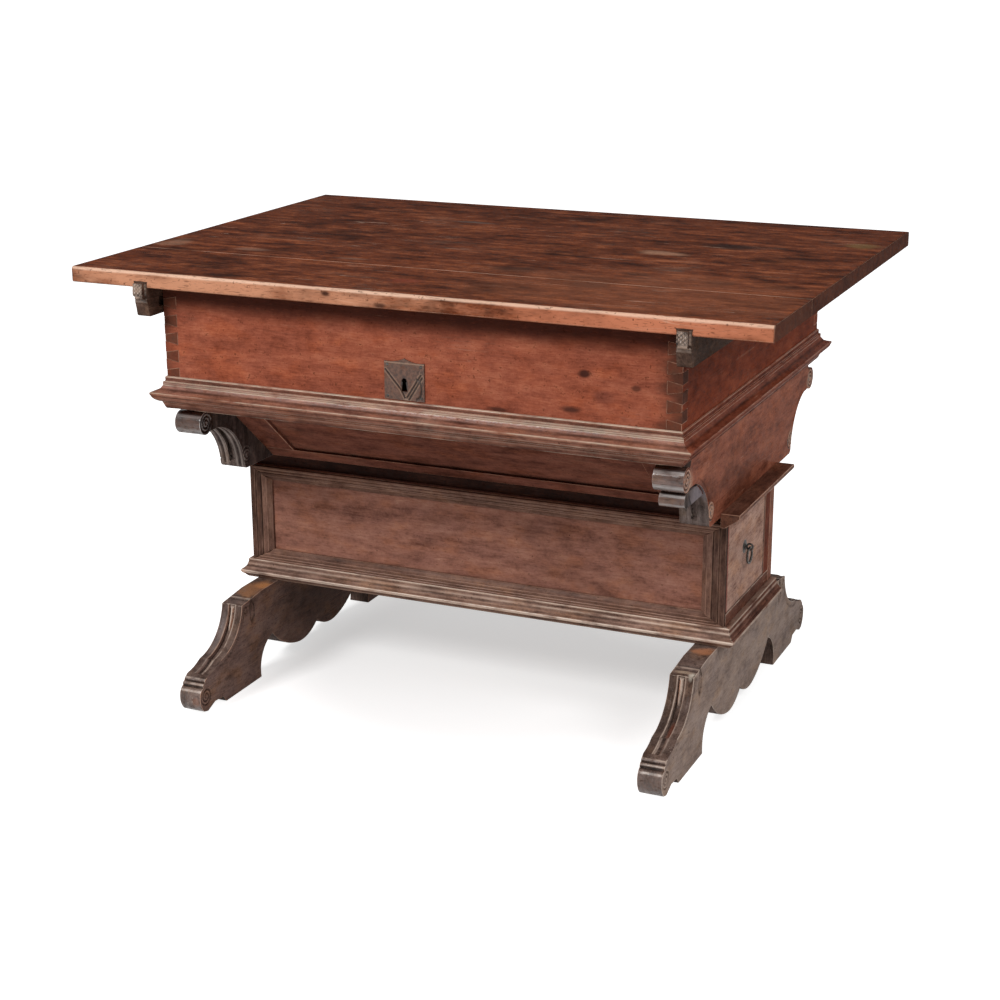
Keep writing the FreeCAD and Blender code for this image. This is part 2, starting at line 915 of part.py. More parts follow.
def add_small_roll(body, inner, outer):
    """The second, smaller roll under the front roll of the right console."""
    roll_y = box_y - s.roll_setback - s.small_roll_setback
    roll_z = box_z - s.roll_drop - s.small_roll_drop
    radius = s.small_roll_radius
    root = shaft_points()[1]
    outline = [
        (root[0] - radius, roll_z + radius),
        (roll_y, roll_z + radius),
        Arc((roll_y + radius, roll_z), (roll_y, roll_z - radius)),
        (root[0] - radius, roll_z - radius),
    ]
    pad(body, "X", [mirrored(outline)], inner + radius / 3, outer - radius / 3)


def canted(height, recess):
    """Distance out of the trough's canted face at a height, less a recess."""
    slope = (s.trough_top_reach - s.trough_foot_reach) / s.trough_height
    return s.trough_foot_reach + slope * (height - trough_z) - recess


def canted_section(side, low, high, recess):
    """Section of a canted board of the trough between two heights."""
    inner = s.trough_wall - recess
    return on_side(side, [
        (canted(low, recess) - inner, low),
        (canted(low, recess), low),
        (canted(high, recess), high),
        (canted(high, recess) - inner, high),
    ])


def make_trough():
    """Framed canted front, plain canted back, the floor of the trough and its end strips."""
    reach = end_x - s.console_thickness
    rail_low_z = trough_z + s.trough_bottom_rail_height
    rail_high_z = box_z - s.trough_top_rail_height
    stile = reach - s.trough_stile_width
    pieces = (
        ("trough_bottom_rail", -reach, reach, trough_z, rail_low_z, 0),
        ("trough_top_rail", -reach, reach, rail_high_z, box_z, 0),
        ("trough_left_stile", -reach, -stile, rail_low_z, rail_high_z, 0),
        ("trough_right_stile", stile, reach, rail_low_z, rail_high_z, 0),
        ("trough_panel", -stile, stile, rail_low_z, rail_high_z, s.trough_panel_recess),
    )
    for label, start, end, low, high, recess in pieces:
        prism(label, "X", canted_section(-1, low, high, recess), start, end)
    prism("trough_back_board", "X", canted_section(1, trough_z, box_z, 0), -reach, reach)
    half = s.waist_depth / 2
    board("waist_board", (-end_x, end_x), (-half, half), (waist_z, trough_z))
    strip_top = trough_z + s.waist_strip_rise
    strip_foot = strip_top - s.waist_strip_height
    section = [
        (0, strip_foot),
        (s.waist_strip_root, strip_foot),
        (s.waist_strip_depth, strip_top - s.waist_strip_lip),
        (s.waist_strip_depth, strip_top),
        (0, strip_top),
    ]
    reach = (-s.waist_strip_front, s.waist_strip_rear)
    for side, name in ((-1, "left"), (1, "right")):
        prism(f"waist_strip_{name}", "Y", pushed(section, side * end_x, side), *reach)


# Faces of the lower box
lower_back = s.lower_depth / 2
strip_face = -lower_back
lower_front = strip_face + s.strip_thickness
lower_well_front = lower_front + s.lower_wall
lower_well_back = lower_back - s.lower_wall
lower_inner_x = end_x - s.lower_end_wall
floor_z = lower_z + s.lower_floor
end_rail_z = lower_z + s.end_rail_height
post_face = lower_well_back - s.rear_post_width
drawer_z = end_rail_z + s.drawer_gap
drawer_rear = post_face - s.drawer_gap
drawer_near = lower_well_front + s.drawer_gap


def make_lower_box():
    """Lower box, open at its right end for the drawer."""
    inside = (-lower_inner_x, lower_inner_x)
    height = (lower_z, waist_z)
    board("lower_front_board", inside, (lower_front, lower_well_front), height)
    board("lower_back_board", (-end_x, end_x), (lower_well_back, lower_back), height)
    board("lower_left_end", (-end_x, -lower_inner_x), (lower_front, lower_well_back), height)
    depth = (lower_well_front, lower_well_back)
    board("lower_bottom_board", inside, depth, (lower_z, floor_z))
    right_end = (lower_inner_x, end_x)
    board("lower_end_rail", right_end, (lower_front, lower_well_back), (lower_z, end_rail_z))
    board("lower_rear_post", right_end, (post_face, lower_well_back), (end_rail_z, waist_z))
    runner_height = (floor_z, drawer_z - s.drawer_seat_gap)
    near = (lower_well_front, lower_well_front + s.runner_width)
    board("drawer_runner_front", inside, near, runner_height)
    far = (post_face - s.runner_width, post_face)
    board("drawer_runner_rear", inside, far, runner_height)
    guide_top = drawer_z + s.guide_height
    board("drawer_guide", inside, (post_face, lower_well_back), (floor_z, guide_top))


def strip_section(width):
    """Section of an applied strip: distance in from its outer edge, and thickness."""
    thick = s.strip_thickness
    step = width - s.strip_bead
    outline = [
        (0, 0),
        (width, 0),
        (width, thick - s.strip_bead_drop * 1.5),
        (step + s.strip_bead_drop, thick - s.strip_bead_drop),
        (step, thick),
    ]
    for number in range(STRIP_GROOVES, 0, -1):
        middle = step * number / (STRIP_GROOVES + 1)
        half = s.strip_groove / 2
        outline += [
            (middle + half, thick),
            (middle, thick - s.strip_groove_depth),
            (middle - half, thick),
        ]
    return outline + [(0, thick)]


def make_frame_strips():
    """Applied frame round the front panel of the lower box, mitred at its corners."""
    foot = lower_z + s.base_height
    side_w, top_w, bottom_w = s.strip_side_width, s.strip_top_width, s.strip_bottom_width
    inner_x = end_x - side_w
    corners = {
        "top": ((end_x, waist_z), (inner_x, waist_z - top_w)),
        "bottom": ((end_x, foot), (inner_x, foot + bottom_w)),
    }
    for name, width, edge, inward in (("top", top_w, waist_z, -1), ("bottom", bottom_w, foot, 1)):
        section = [
            (lower_front - out, edge + inward * away) for away, out in strip_section(width)
        ]
        body = prism(f"frame_strip_{name}", "X", section, -end_x, end_x)
        outer, inner = corners[name]
        waste = [outer, (end_x, inner[1]), inner]
        cut(body, "Y", [waste, mirrored(waste)], strip_face, lower_front)
    for side, name in ((-1, "left"), (1, "right")):
        section = [
            (side * (end_x - Dim.of(away)), lower_front - out)
            for away, out in strip_section(side_w)
        ]
        body = prism(f"frame_strip_{name}", "Z", section, foot, waist_z)
        wastes = []
        for outer, inner in corners.values():
            wastes.append(on_side(side, [outer, (inner[0], outer[1]), inner]))
        cut(body, "Y", wastes, strip_face, lower_front)


def make_drawer():
    """Drawer of the right end with its iron ring handle."""
    front_x = lower_inner_x + s.drawer_gap
    back_x = end_x - s.drawer_length
    side = s.drawer_side_thickness
    front_top = waist_z - s.drawer_gap
    face = rectangle(
        (lower_front + s.drawer_gap, drawer_z),
        (drawer_rear, front_top),
    )
    eye_z = front_top - s.ring_drop
    eye_y = s.ring_middle
    front = prism("drawer_front", "X", face, front_x, end_x)
    shank_hole = circle((eye_y, eye_z), s.shank_radius + s.shank_fit)
    cut(front, "X", [shank_hole], front_x, end_x)
    height = (drawer_z, drawer_z + s.drawer_side_height)
    length = (back_x, front_x)
    board("drawer_side_front", length, (drawer_near, drawer_near + side), height)
    board("drawer_side_rear", length, (drawer_rear - side, drawer_rear), height)
    between = (drawer_near + side, drawer_rear - side)
    board("drawer_back", (back_x, back_x + side), between, height)
    floor = drawer_z + s.drawer_floor_lift
    board("drawer_bottom", (back_x + side, front_x), between, (floor, floor + s.drawer_floor))

    along = FreeCAD.Rotation(V(0, 1, 0), 90)
    rosette = doc.addObject("Part::Cone", "rosette_disc")
    bind(rosette, "Radius1", s.rosette_radius)
    bind(rosette, "Radius2", s.rosette_crown)
    bind(rosette, "Height", s.rosette_thickness)
    rosette.Placement.Rotation = along
    for value, place in zip((end_x, eye_y, eye_z), "xyz"):
        bind(rosette, f"Placement.Base.{place}", value)
    bore = round_bar(
        "rosette_bore", s.shank_radius + s.shank_fit, s.rosette_thickness, (end_x, eye_y, eye_z), along
    )
    plate = doc.addObject("Part::Cut", "ring_plate")
    plate.Label = "ring_plate"
    plate.Base, plate.Tool = rosette, bore
    SUB_PARTS.append(plate)

    eye_x = end_x + s.rosette_thickness + s.eye_radius + s.eye_wire + s.shank_fit
    across = FreeCAD.Rotation(V(1, 0, 0), 90)
    eye = forged_ring("eye_loop", s.eye_radius, s.eye_wire, (eye_x, eye_y, eye_z), across)
    shank_length = eye_x - s.eye_radius - front_x
    shank = round_bar("eye_shank", s.shank_radius, shank_length, (front_x, eye_y, eye_z), along)
    staple = doc.addObject("Part::Fuse", "ring_staple")
    staple.Label = "ring_staple"
    staple.Base, staple.Tool = eye, shank
    SUB_PARTS.append(staple)

    hang = s.eye_radius - s.eye_wire - s.ring_wire - s.slide_clearance / 2
    middle = (eye_x, eye_y, eye_z - hang - s.ring_radius)
    SUB_PARTS.append(forged_ring("ring_pull", s.ring_radius, s.ring_wire, middle, along))


def leg_points():
    """Shoulder, hollow and instep of a trestle's leg on the +Y side."""
    shoulder = (s.trestle_top_half + s.shoulder_length, s.trestle_height - s.shoulder_drop)
    toe_top = s.toe_reach - s.toe_length
    instep = (toe_top - s.instep_length, s.toe_height + s.instep_rise)
    hollow = (
        (shoulder[0] + instep[0]) / 2 - s.leg_hollow,
        (shoulder[1] + instep[1]) / 2 - s.leg_hollow,
    )
    return shoulder, hollow, instep


def part_way(start, end, share):
    """The point at a share of the way between two points."""
    return tuple(a + (b - a) * share for a, b in zip(start, end))


def toe_bands(start, end):
    """Raised bands across the ankle between the instep and the toe."""
    bands = []
    for number in range(TOE_BANDS):
        y, z = part_way(start, end, (number + 0.5) / TOE_BANDS)
        foot = part_way(start, end, (number + 1) / TOE_BANDS)
        bands.append(Arc((y, z + s.toe_band_rise), foot))
    return bands


def trestle_half():
    """The +Y half of a trestle: shoulder, leg, toe, sole and scalloped apron."""
    shoulder, hollow, instep = leg_points()
    reach = s.toe_reach
    heel = reach - s.heel_setback
    sole_end = heel - s.sole_length
    cusp = sole_end - s.cusp_setback
    return [
        (s.trestle_top_half, s.trestle_height),
        shoulder,
        Arc(hollow, instep),
        *toe_bands(instep, (reach - s.toe_length, s.toe_height)),
        Arc((reach, s.toe_front_height), (reach - s.toe_curl, s.toe_lift + s.toe_curl / 4)),
        (reach - s.toe_curl * 2, s.toe_lift),
        (reach - s.arch_front, s.arch_height),
        (heel + s.heel_bevel, s.heel_rise),
        (heel, 0),
        (sole_end, 0),
        Arc((sole_end - s.leg_back_bulge, s.leg_back_height), (cusp, s.cusp_height)),
        Arc((s.lobe_middle, s.lobe_middle_height), (s.lobe_tip, s.lobe_tip_height)),
        Arc((s.apron_middle, s.apron_middle_height), (0, s.apron_peak)),
    ]


def make_trestles():
    """Two scrolled trestle feet with a groove between the reeds of each leg."""
    outer = end_x - s.trestle_inset
    inner = outer - s.trestle_thickness
    middle = (inner + outer) / 2
    width = s.reed_groove_width / 2
    shoulder, hollow, instep = leg_points()
    depth = s.reed_groove
    groove = [
        shoulder,
        Arc(hollow, instep),
        (instep[0] - depth, instep[1] - depth),
        Arc((hollow[0] - depth, hollow[1] - depth), (shoulder[0] - depth, shoulder[1] - depth)),
    ]
    for side, name in ((-1, "left"), (1, "right")):
        body = prism(f"trestle_{name}", "X", both_halves(trestle_half()), *span(side, inner, outer))
        cut(body, "X", [groove, mirrored(groove)], *span(side, middle - width, middle + width))


def check_document():
    """Stop if a feature failed, a cut missed its solid or a sub-part isn't sound."""
    for item in doc.Objects:
        if "Invalid" in item.State or "Error" in item.State:
            raise RuntimeError(f"{item.Label} failed: {item.State}")
    for before, feature in CUTS:
        if feature.Shape.Volume > before.Shape.Volume - 1e-3:
            raise RuntimeError(f"{feature.Label} cuts nothing")
    for item in SUB_PARTS:
        if item.Shape.isNull() or not item.Shape.isValid():
            raise RuntimeError(f"{item.Label} has no sound shape")


def write_parts():
    """Write each sub-part to a file of its own."""
    os.makedirs("parts", exist_ok=True)
    for item in SUB_PARTS:
        item.Shape.exportStep(f"parts/{item.Label}.step")
        print(f"{item.Label}: {len(item.Shape.Solids)} solid, {item.Shape.Volume / 1000:.1f} cm3")


make_top()
make_upper_box()
make_mouldings()
make_lock()
make_consoles()
make_trough()
make_lower_box()
make_frame_strips()
make_drawer()
make_trestles()
doc.recompute()
check_document()
write_parts()
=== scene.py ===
"""Looks of the rent table: aged walnut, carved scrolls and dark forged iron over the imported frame."""

import logging
import math
from collections.abc import Callable
from dataclasses import dataclass
from enum import Enum

import bmesh
import bpy
from mathutils import Matrix, Vector, noise


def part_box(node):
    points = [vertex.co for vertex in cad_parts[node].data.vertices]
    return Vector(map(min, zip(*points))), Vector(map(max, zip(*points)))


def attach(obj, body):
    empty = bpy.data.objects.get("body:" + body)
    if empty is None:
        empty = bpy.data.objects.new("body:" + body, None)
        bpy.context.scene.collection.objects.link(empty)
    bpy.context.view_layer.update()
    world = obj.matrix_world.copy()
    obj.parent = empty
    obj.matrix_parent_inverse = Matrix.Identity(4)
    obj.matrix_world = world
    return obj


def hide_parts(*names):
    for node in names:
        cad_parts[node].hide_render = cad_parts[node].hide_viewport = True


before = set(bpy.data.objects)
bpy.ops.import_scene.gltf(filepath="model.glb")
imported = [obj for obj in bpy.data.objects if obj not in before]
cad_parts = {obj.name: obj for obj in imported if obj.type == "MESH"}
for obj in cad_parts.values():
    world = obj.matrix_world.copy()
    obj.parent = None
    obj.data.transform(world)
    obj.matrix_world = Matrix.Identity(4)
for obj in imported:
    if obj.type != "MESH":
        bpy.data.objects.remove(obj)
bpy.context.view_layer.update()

MM = 0.001
log = logging.getLogger("rent_table")

Colour = tuple[float, float, float, float]
LevelAt = Callable[[Vector, Vector], float]


def srgb(red: int, green: int, blue: int) -> Colour:
    """Turn a display colour into the linear one that shaders take.

    Args:
        red: Red level, 0 to 255.
        green: Green level, 0 to 255.
        blue: Blue level, 0 to 255.

    Returns:
        The linear colour with full alpha.
    """
    levels = [level / 255 for level in (red, green, blue)]
    linear = [v / 12.92 if v <= 0.04045 else ((v + 0.055) / 1.055) ** 2.4 for v in levels]
    return (linear[0], linear[1], linear[2], 1.0)


def darkened(colour: Colour) -> Colour:
    """Give the dark tone that sooty dirt and painted shade lay over a colour.

    Args:
        colour: The colour.

    Returns:
        A much darker one.
    """
    return tuple(level * SOOT_AND_SHADE_SHARE for level in colour[:3]) + (1.0,)


class Grain(Enum):
    """The axis that a board's fibres follow."""

    ACROSS_TABLE = 0
    FRONT_TO_BACK = 1
    UPRIGHT = 2


class Value:
    """A number that changes over a surface, held as the socket that gives it."""

    def __init__(self, bench: "NodeBench", socket: bpy.types.NodeSocket) -> None:
        """Keep the socket and the bench that new nodes go on."""
        self.bench = bench
        self.socket = socket

    def maths(self, operation: str, first: "Value | float", second: "Value | float") -> "Value":
        """Add one Math node.

        Args:
            operation: Blender's name of the operation.
            first: Left value.
            second: Right value.

        Returns:
            The node's result.
        """
        node = self.bench.node("ShaderNodeMath", {"operation": operation}, {0: first, 1: second})
        return Value(self.bench, node.outputs[0])

    def __add__(self, other: "Value | float") -> "Value":
        """Add."""
        return self.maths("ADD", self, other)

    def __radd__(self, other: float) -> "Value":
        """Add to a plain number."""
        return self.maths("ADD", other, self)

    def __sub__(self, other: "Value | float") -> "Value":
        """Take away."""
        return self.maths("SUBTRACT", self, other)

    def __rsub__(self, other: float) -> "Value":
        """Take this from a plain number."""
        return self.maths("SUBTRACT", other, self)

    def __mul__(self, other: "Value | float") -> "Value":
        """Multiply."""
        return self.maths("MULTIPLY", self, other)

    def __rmul__(self, other: float) -> "Value":
        """Multiply a plain number."""
        return self.maths("MULTIPLY", other, self)

    def __abs__(self) -> "Value":
        """Drop the sign."""
        return self.maths("ABSOLUTE", self, 0.0)

    def most(self, other: "Value | float") -> "Value":
        """Keep the larger of two values."""
        return self.maths("MAXIMUM", self, other)

    def eased(self, low: float, high: float) -> "Value":
        """Rise smoothly from 0 at low to 1 at high.

        Args:
            low: Where the rise starts.
            high: Where it ends; below low it falls instead.

        Returns:
            The eased value.
        """
        inputs = {"Value": self, "From Min": low, "From Max": high}
        node = self.bench.node("ShaderNodeMapRange", {"interpolation_type": "SMOOTHSTEP"}, inputs)
        return Value(self.bench, node.outputs[0])


class NodeBench:
    """Lays out the nodes of one material or world."""

    def __init__(self, tree: bpy.types.NodeTree) -> None:
        """Start from an empty tree."""
        self.tree = tree
        tree.nodes.clear()

    def node(self, kind: str, settings: dict | None = None, inputs: dict | None = None) -> bpy.types.Node:
        """Add a node.

        Args:
            kind: Blender's type name.
            settings: Attributes of the node; "stops" holds a ramp's places and colours.
            inputs: Values or links of its sockets, by name or number.

        Returns:
            The node.
        """
        made = self.tree.nodes.new(kind)
        for name, setting in (settings or {}).items():
            if name == "stops":
                self.set_stops(made.color_ramp, setting)
            else:
                setattr(made, name, setting)
        for key, given in (inputs or {}).items():
            if isinstance(given, Value):
                self.tree.links.new(given.socket, made.inputs[key])
            elif isinstance(given, bpy.types.NodeSocket):
                self.tree.links.new(given, made.inputs[key])
            else:
                made.inputs[key].default_value = given
        return made

    def set_stops(self, ramp: bpy.types.ColorRamp, stops: list[tuple[float, Colour]]) -> None:
        """Give a ramp its stops.

        Args:
            ramp: The ramp.
            stops: Places and colours, in rising order.
        """
        while len(ramp.elements) < len(stops):
            ramp.elements.new(1.0)
        for element, (place, colour) in zip(ramp.elements, stops):
            element.position = place
            element.color = colour

    def places(self) -> bpy.types.NodeSocket:
        """Give the point's place on the object, in metres."""
        return self.node("ShaderNodeTexCoord").outputs["Object"]

    def mapped(self, scale: tuple, shift: tuple = (0, 0, 0), turn: tuple = (0, 0, 0)) -> bpy.types.NodeSocket:
        """Scale, shift and turn the object's coordinates.

        Args:
            scale: Repeats per metre on each axis.
            shift: Offset after scaling.
            turn: Turn in radians on each axis.

        Returns:
            The vector.
        """
        inputs = {"Vector": self.places(), "Scale": scale, "Location": shift, "Rotation": turn}
        return self.node("ShaderNodeMapping", None, inputs).outputs[0]

    def noise(
        self, vector: bpy.types.NodeSocket, detail: float = 3.0, rough: float = 0.5, bend: float = 0.0
    ) -> Value:
        """Give soft noise of one repeat per unit.

        Args:
            vector: Where to read it.
            detail: Number of finer layers.
            rough: Strength of the finer layers.
            bend: How much the noise distorts itself.

        Returns:
            A value from 0 to 1.
        """
        inputs = {"Vector": vector, "Scale": 1.0, "Detail": detail, "Roughness": rough, "Distortion": bend}
        return Value(self, self.node("ShaderNodeTexNoise", None, inputs).outputs[0])

    def cells(self, vector: bpy.types.NodeSocket) -> tuple[Value, bpy.types.NodeSocket]:
        """Give the distance in a field of random cells, and each cell's own colour.

        Args:
            vector: Where to read it.

        Returns:
            The distance and the cell's colour socket.
        """
        node = self.node("ShaderNodeTexVoronoi", {"feature": "F1"}, {"Vector": vector, "Scale": 1.0})
        return Value(self, node.outputs["Distance"]), node.outputs["Color"]

    def length(self, vector: bpy.types.NodeSocket) -> Value:
        """Give the length of a vector."""
        node = self.node("ShaderNodeVectorMath", {"operation": "LENGTH"}, {0: vector})
        return Value(self, node.outputs["Value"])

    def attribute(self, name: str) -> Value:
        """Read a number that the mesh carries."""
        node = self.node("ShaderNodeAttribute", {"attribute_name": name})
        return Value(self, node.outputs["Fac"])

    def part_of(self, vector: bpy.types.NodeSocket, axis: int) -> Value:
        """Take one coordinate of a vector."""
        return Value(self, self.node("ShaderNodeSeparateXYZ", None, {0: vector}).outputs[axis])

    def ramp(self, value: Value, stops: list[tuple[float, Colour]]) -> bpy.types.NodeSocket:
        """Turn a value into a colour.

        Args:
            value: The value.
            stops: Places and colours, in rising order.

        Returns:
            The colour.
        """
        node = self.node("ShaderNodeValToRGB", {"stops": stops}, {0: value})
        return node.outputs[0]

    def mixed(self, factor: Value, first: object, second: object, blend: str = "MIX") -> bpy.types.NodeSocket:
        """Mix two colours.

        Args:
            factor: Share of the second.
            first: Colour or its socket.
            second: Colour or its socket.
            blend: Blender's name of the way to mix.

        Returns:
            The colour.
        """
        settings = {"data_type": "RGBA", "blend_type": blend}
        return self.node("ShaderNodeMix", settings, {0: factor, 6: first, 7: second}).outputs[2]

    def relief(self, height: Value, depth: float, strength: float) -> bpy.types.NodeSocket:
        """Turn a height into a bent normal.

        Args:
            height: Height from 0 to 1.
            depth: Full height in metres.
            strength: Share of the bend.

        Returns:
            The normal.
        """
        inputs = {"Height": height, "Distance": depth, "Strength": strength}
        return self.node("ShaderNodeBump", None, inputs).outputs[0]

    def surface(self, inputs: dict) -> None:
        """End the material with one shader.

        Args:
            inputs: Values or links of the shader's sockets.
        """
        shader = self.node("ShaderNodeBsdfPrincipled", None, inputs)
        self.node("ShaderNodeOutputMaterial", None, {"Surface": shader.outputs[0]})


@dataclass(frozen=True)
class Mark:
    """A stain, bruise, bare patch, painted shade or painted highlight on the wood.

    Attributes:
        middle: Its place on the table, metres.
        reach: Its half size on each axis, metres.
        colour: Its colour.
        strength: Its share over the wood's own colour.
        fray: How ragged its rim is.
    """

    middle: tuple[float, float, float]
    reach: tuple[float, float, float]
    colour: Colour
    strength: float = 0.7
    fray: float = 1.6


@dataclass(frozen=True)
class Pattern:
    """A noise in the wood, drawn out along its fibres.

    Attributes:
        along: Repeats per metre along the fibres.
        across: Repeats per metre across them.
        detail: Number of finer layers.
        rough: Strength of the finer layers.
        bend: How much it distorts itself.
    """

    along: float
    across: float
    detail: int = 4
    rough: float = 0.6
    bend: float = 0.0


FIBRE = Pattern(38, 320, rough=0.68)
PORES = Pattern(70, 560, 2, 0.5)
MOTTLE = Pattern(9, 24)
BLOT = Pattern(24, 46, 5, 0.66)
CLOUD = Pattern(4.5, 7.5, 5, 0.62, 0.3)
SPECK = Pattern(150, 150, rough=0.66)
DRIFT = Pattern(16, 30)
RUBBED = Pattern(18, 60, 3)
FIGURE_STRETCH = 0.1
FIGURE_LAYERS = (4, 0.62, 0.5)
USUAL_FIGURE = 0.16
SEED_STEPS = (1.0, 1.7, 0.6)
# Shares of the patterns in the tone, the dirt, the fading, the roughness and the relief
FIBRE_TONE, BLOT_TONE, SPECK_TONE = 0.24, 0.4, 0.2
CLOUD_DIRT, MOTTLE_DIRT = 0.75, 0.25
CLOUD_FADE, FIBRE_FADE = 0.6, 0.4
FIBRE_ROUGH, DIRT_ROUGH, RUBBED_SMOOTH, SPECK_ROUGH, ROUGH_DROP = 0.12, 0.1, 0.15, 0.12, 0.12
FIBRE_RISE, SPECK_RISE, PORE_FALL, SCRATCH_FALL = 0.4, 0.5, 0.4, 0.5
PORE_COVER, SPECK_COVER, GRIME_COVER, RUBBED_SHINE = 0.5, 0.6, 0.9, 0.25
END_GAIN, END_DROP = 1.5, 0.1
# Levels of a pattern between which its effect goes from none to full
DIRT_BAND, FADE_BAND = (0.5, 0.66), (0.46, 0.3)
PORE_BAND, SPECK_BAND = (0.57, 0.7), (0.59, 0.7)
RUBBED_BAND, GRIME_BAND = (0.28, 0.56), (0.85, 0.3)
POLISH_BAND, SCRATCH_BAND = (0.75, 0.4), (0.5, 0.36)
WARM_BAND, COOL_BAND = (0.5, 0.66), (0.5, 0.34)
DEEP_STOP, BODY_STOP, BRIGHT_STOP = 0.38, 0.51, 0.65
WARM_DRIFT = (1.16, 0.98, 0.72, 1.0)
COOL_DRIFT = (0.84, 0.88, 0.98, 1.0)
MARK_RIM = (1.0, 0.3)
SOOT_AND_SHADE_SHARE = 0.3
CUT_END_RIM = 0.3 * MM
WOOD_RELIEF = 0.45 * MM
WOOD_BEND = 0.6
WORM_CELLS = 62
WORM_HOLE = (0.075, 0.04)
WORM_CHANCE = (0.94, 0.96)
SCRATCH_REPEATS = (1.8, 75)
SCRATCH_TURN = 0.05
SCRATCH_WIDTH = (0.006, 0.001)


@dataclass(frozen=True)
class WoodFinish:
    """Aged, waxed wood: figure, fibre, pores, stains, scratches, pale worn arrises, dirt, painted highlights
    and painted shade.

    Attributes:
        name: Name of the material.
        slot: Material slot of the record; not used.
        deep: Darkest tone.
        body: Middle tone.
        bright: Lightest tone.
        worn: Tone of rubbed arrises, scratches and painted highlights.
        grain: Axis of the fibres.
        seed: Place in the patterns.
        rough: Roughness.
        wax: Weight of the wax over all.
        bleach: Share of faded patches.
        stain: Share of dark clouds.
        scratch: Strength of the scratches.
        rubbing: Strength of the rubbed arrises.
        figure_width: Width of the figure's bands, metres.
        figure_share: Share of the figure in the tone.
        hue: How far the hue drifts.
        contrast: Spread of the tone.
        gloss_rough: Roughness of the wax.
        end_beyond: Distance from the middle past which end grain shows, metres; 0 for none.
        end_tone: Tone of the end grain.
        marks: Stains, bruises, painted shade and painted highlights.
    """

    name: str
    slot: str
    deep: Colour
    body: Colour
    bright: Colour
    worn: Colour
    grain: Grain
    seed: float = 0.0
    rough: float = 0.5
    wax: float = 0.05
    bleach: float = 0.15
    stain: float = 0.5
    scratch: float = 0.3
    rubbing: float = 0.8
    figure_width: float = 26 * MM
    figure_share: float = 0.24
    hue: float = 0.4
    contrast: float = 1.0
    gloss_rough: float = 0.26
    end_beyond: float = 0.0
    end_tone: Colour = srgb(70, 44, 36)
    marks: tuple[Mark, ...] = ()

    def stretched(self, along: float, across: float) -> tuple[float, float, float]:
        """Give repeats per metre, fewer along the grain.

        Args:
            along: Repeats per metre along the fibres.
            across: Repeats per metre across them.

        Returns:
            One number for each axis.
        """
        return tuple(along if axis == self.grain.value else across for axis in range(3))

    def material(self) -> bpy.types.Material:
        """Make the material, or give it again.

        Returns:
            The material.
        """
        known = bpy.data.materials.get(self.name)
        if known:
            return known
        made = bpy.data.materials.new(self.name)
        made.use_nodes = True
        bench = NodeBench(made.node_tree)
        figure = bench.noise(self.figure_places(bench), *FIGURE_LAYERS)
        fibre, pores, mottle, blot, cloud, speck, patchy = (
            self.pattern(bench, kind) for kind in (FIBRE, PORES, MOTTLE, BLOT, CLOUD, SPECK, RUBBED)
        )
        soot_and_shade = darkened(self.deep)
        tone = figure * self.figure_share + fibre * FIBRE_TONE + blot * BLOT_TONE + speck * SPECK_TONE
        middle = BODY_STOP * (1 - self.contrast) - self.contrast * (self.figure_share - USUAL_FIGURE) / 2
        stops = [(DEEP_STOP, self.deep), (BODY_STOP, self.body), (BRIGHT_STOP, self.bright)]
        colour = self.tinted(bench, bench.ramp(tone * self.contrast + middle, stops))
        dirt = (cloud * CLOUD_DIRT + mottle * MOTTLE_DIRT).eased(*DIRT_BAND) * self.stain
        colour = bench.mixed(dirt, colour, soot_and_shade)
        faded = (cloud * CLOUD_FADE + fibre * FIBRE_FADE).eased(*FADE_BAND) * self.bleach
        colour = bench.mixed(faded, colour, self.worn)
        for mark in self.marks:
            colour = self.marked(bench, colour, mark, mottle)
        open_pores = pores.eased(*PORE_BAND)
        colour = bench.mixed(open_pores * PORE_COVER, colour, self.deep)
        colour = bench.mixed(speck.eased(*SPECK_BAND) * SPECK_COVER, colour, soot_and_shade)
        scored = self.scratches(bench, mottle)
        colour = bench.mixed(scored * self.scratch, colour, self.worn)
        colour = bench.mixed(self.worm_holes(bench), colour, soot_and_shade)
        if self.end_beyond:
            along = abs(bench.part_of(bench.places(), self.grain.value))
            cut_end = along.eased(self.end_beyond, self.end_beyond + CUT_END_RIM)
            colour = bench.mixed(cut_end * (blot * END_GAIN - END_DROP), colour, self.end_tone)
        # The wear number holds worn arrises and painted highlights; both lay the worn tone.
        rubbed = bench.attribute("wear") * patchy.eased(*RUBBED_BAND)
        colour = bench.mixed(rubbed * self.rubbing, colour, self.worn)
        # The darkening number holds dirt in hollows and painted shade; both lay the dark tone.
        dirt_and_shade_share = bench.attribute("dirt_and_shade") * patchy.eased(*GRIME_BAND)
        colour = bench.mixed(dirt_and_shade_share * GRIME_COVER, colour, soot_and_shade)
        gloss = self.rough + fibre * FIBRE_ROUGH + dirt * DIRT_ROUGH - rubbed * RUBBED_SMOOTH
        gloss = gloss + speck * SPECK_ROUGH - ROUGH_DROP
        height = fibre * FIBRE_RISE + speck * SPECK_RISE - open_pores * PORE_FALL - scored * SCRATCH_FALL
        normal = bench.relief(height, WOOD_RELIEF, WOOD_BEND)
        waxed = bench.attribute("shine") + rubbed * RUBBED_SHINE + self.wax
        polish = waxed * speck.eased(*POLISH_BAND)
        inputs = {"Base Color": colour, "Roughness": gloss, "Normal": normal, "Coat Weight": polish}
        bench.surface(inputs | {"Coat Roughness": self.gloss_rough, "Specular IOR Level": 0.0})
        return made

    def shift(self) -> tuple[float, float, float]:
        """Give this finish its own place in the patterns."""
        return tuple(self.seed * step for step in SEED_STEPS)

    def figure_places(self, bench: NodeBench) -> bpy.types.NodeSocket:
        """Give the places where the figure's broad bands are read.

        Args:
            bench: Where the nodes go.

        Returns:
            The vector.
        """
        wide = 1 / self.figure_width
        return bench.mapped(self.stretched(wide * FIGURE_STRETCH, wide), self.shift())

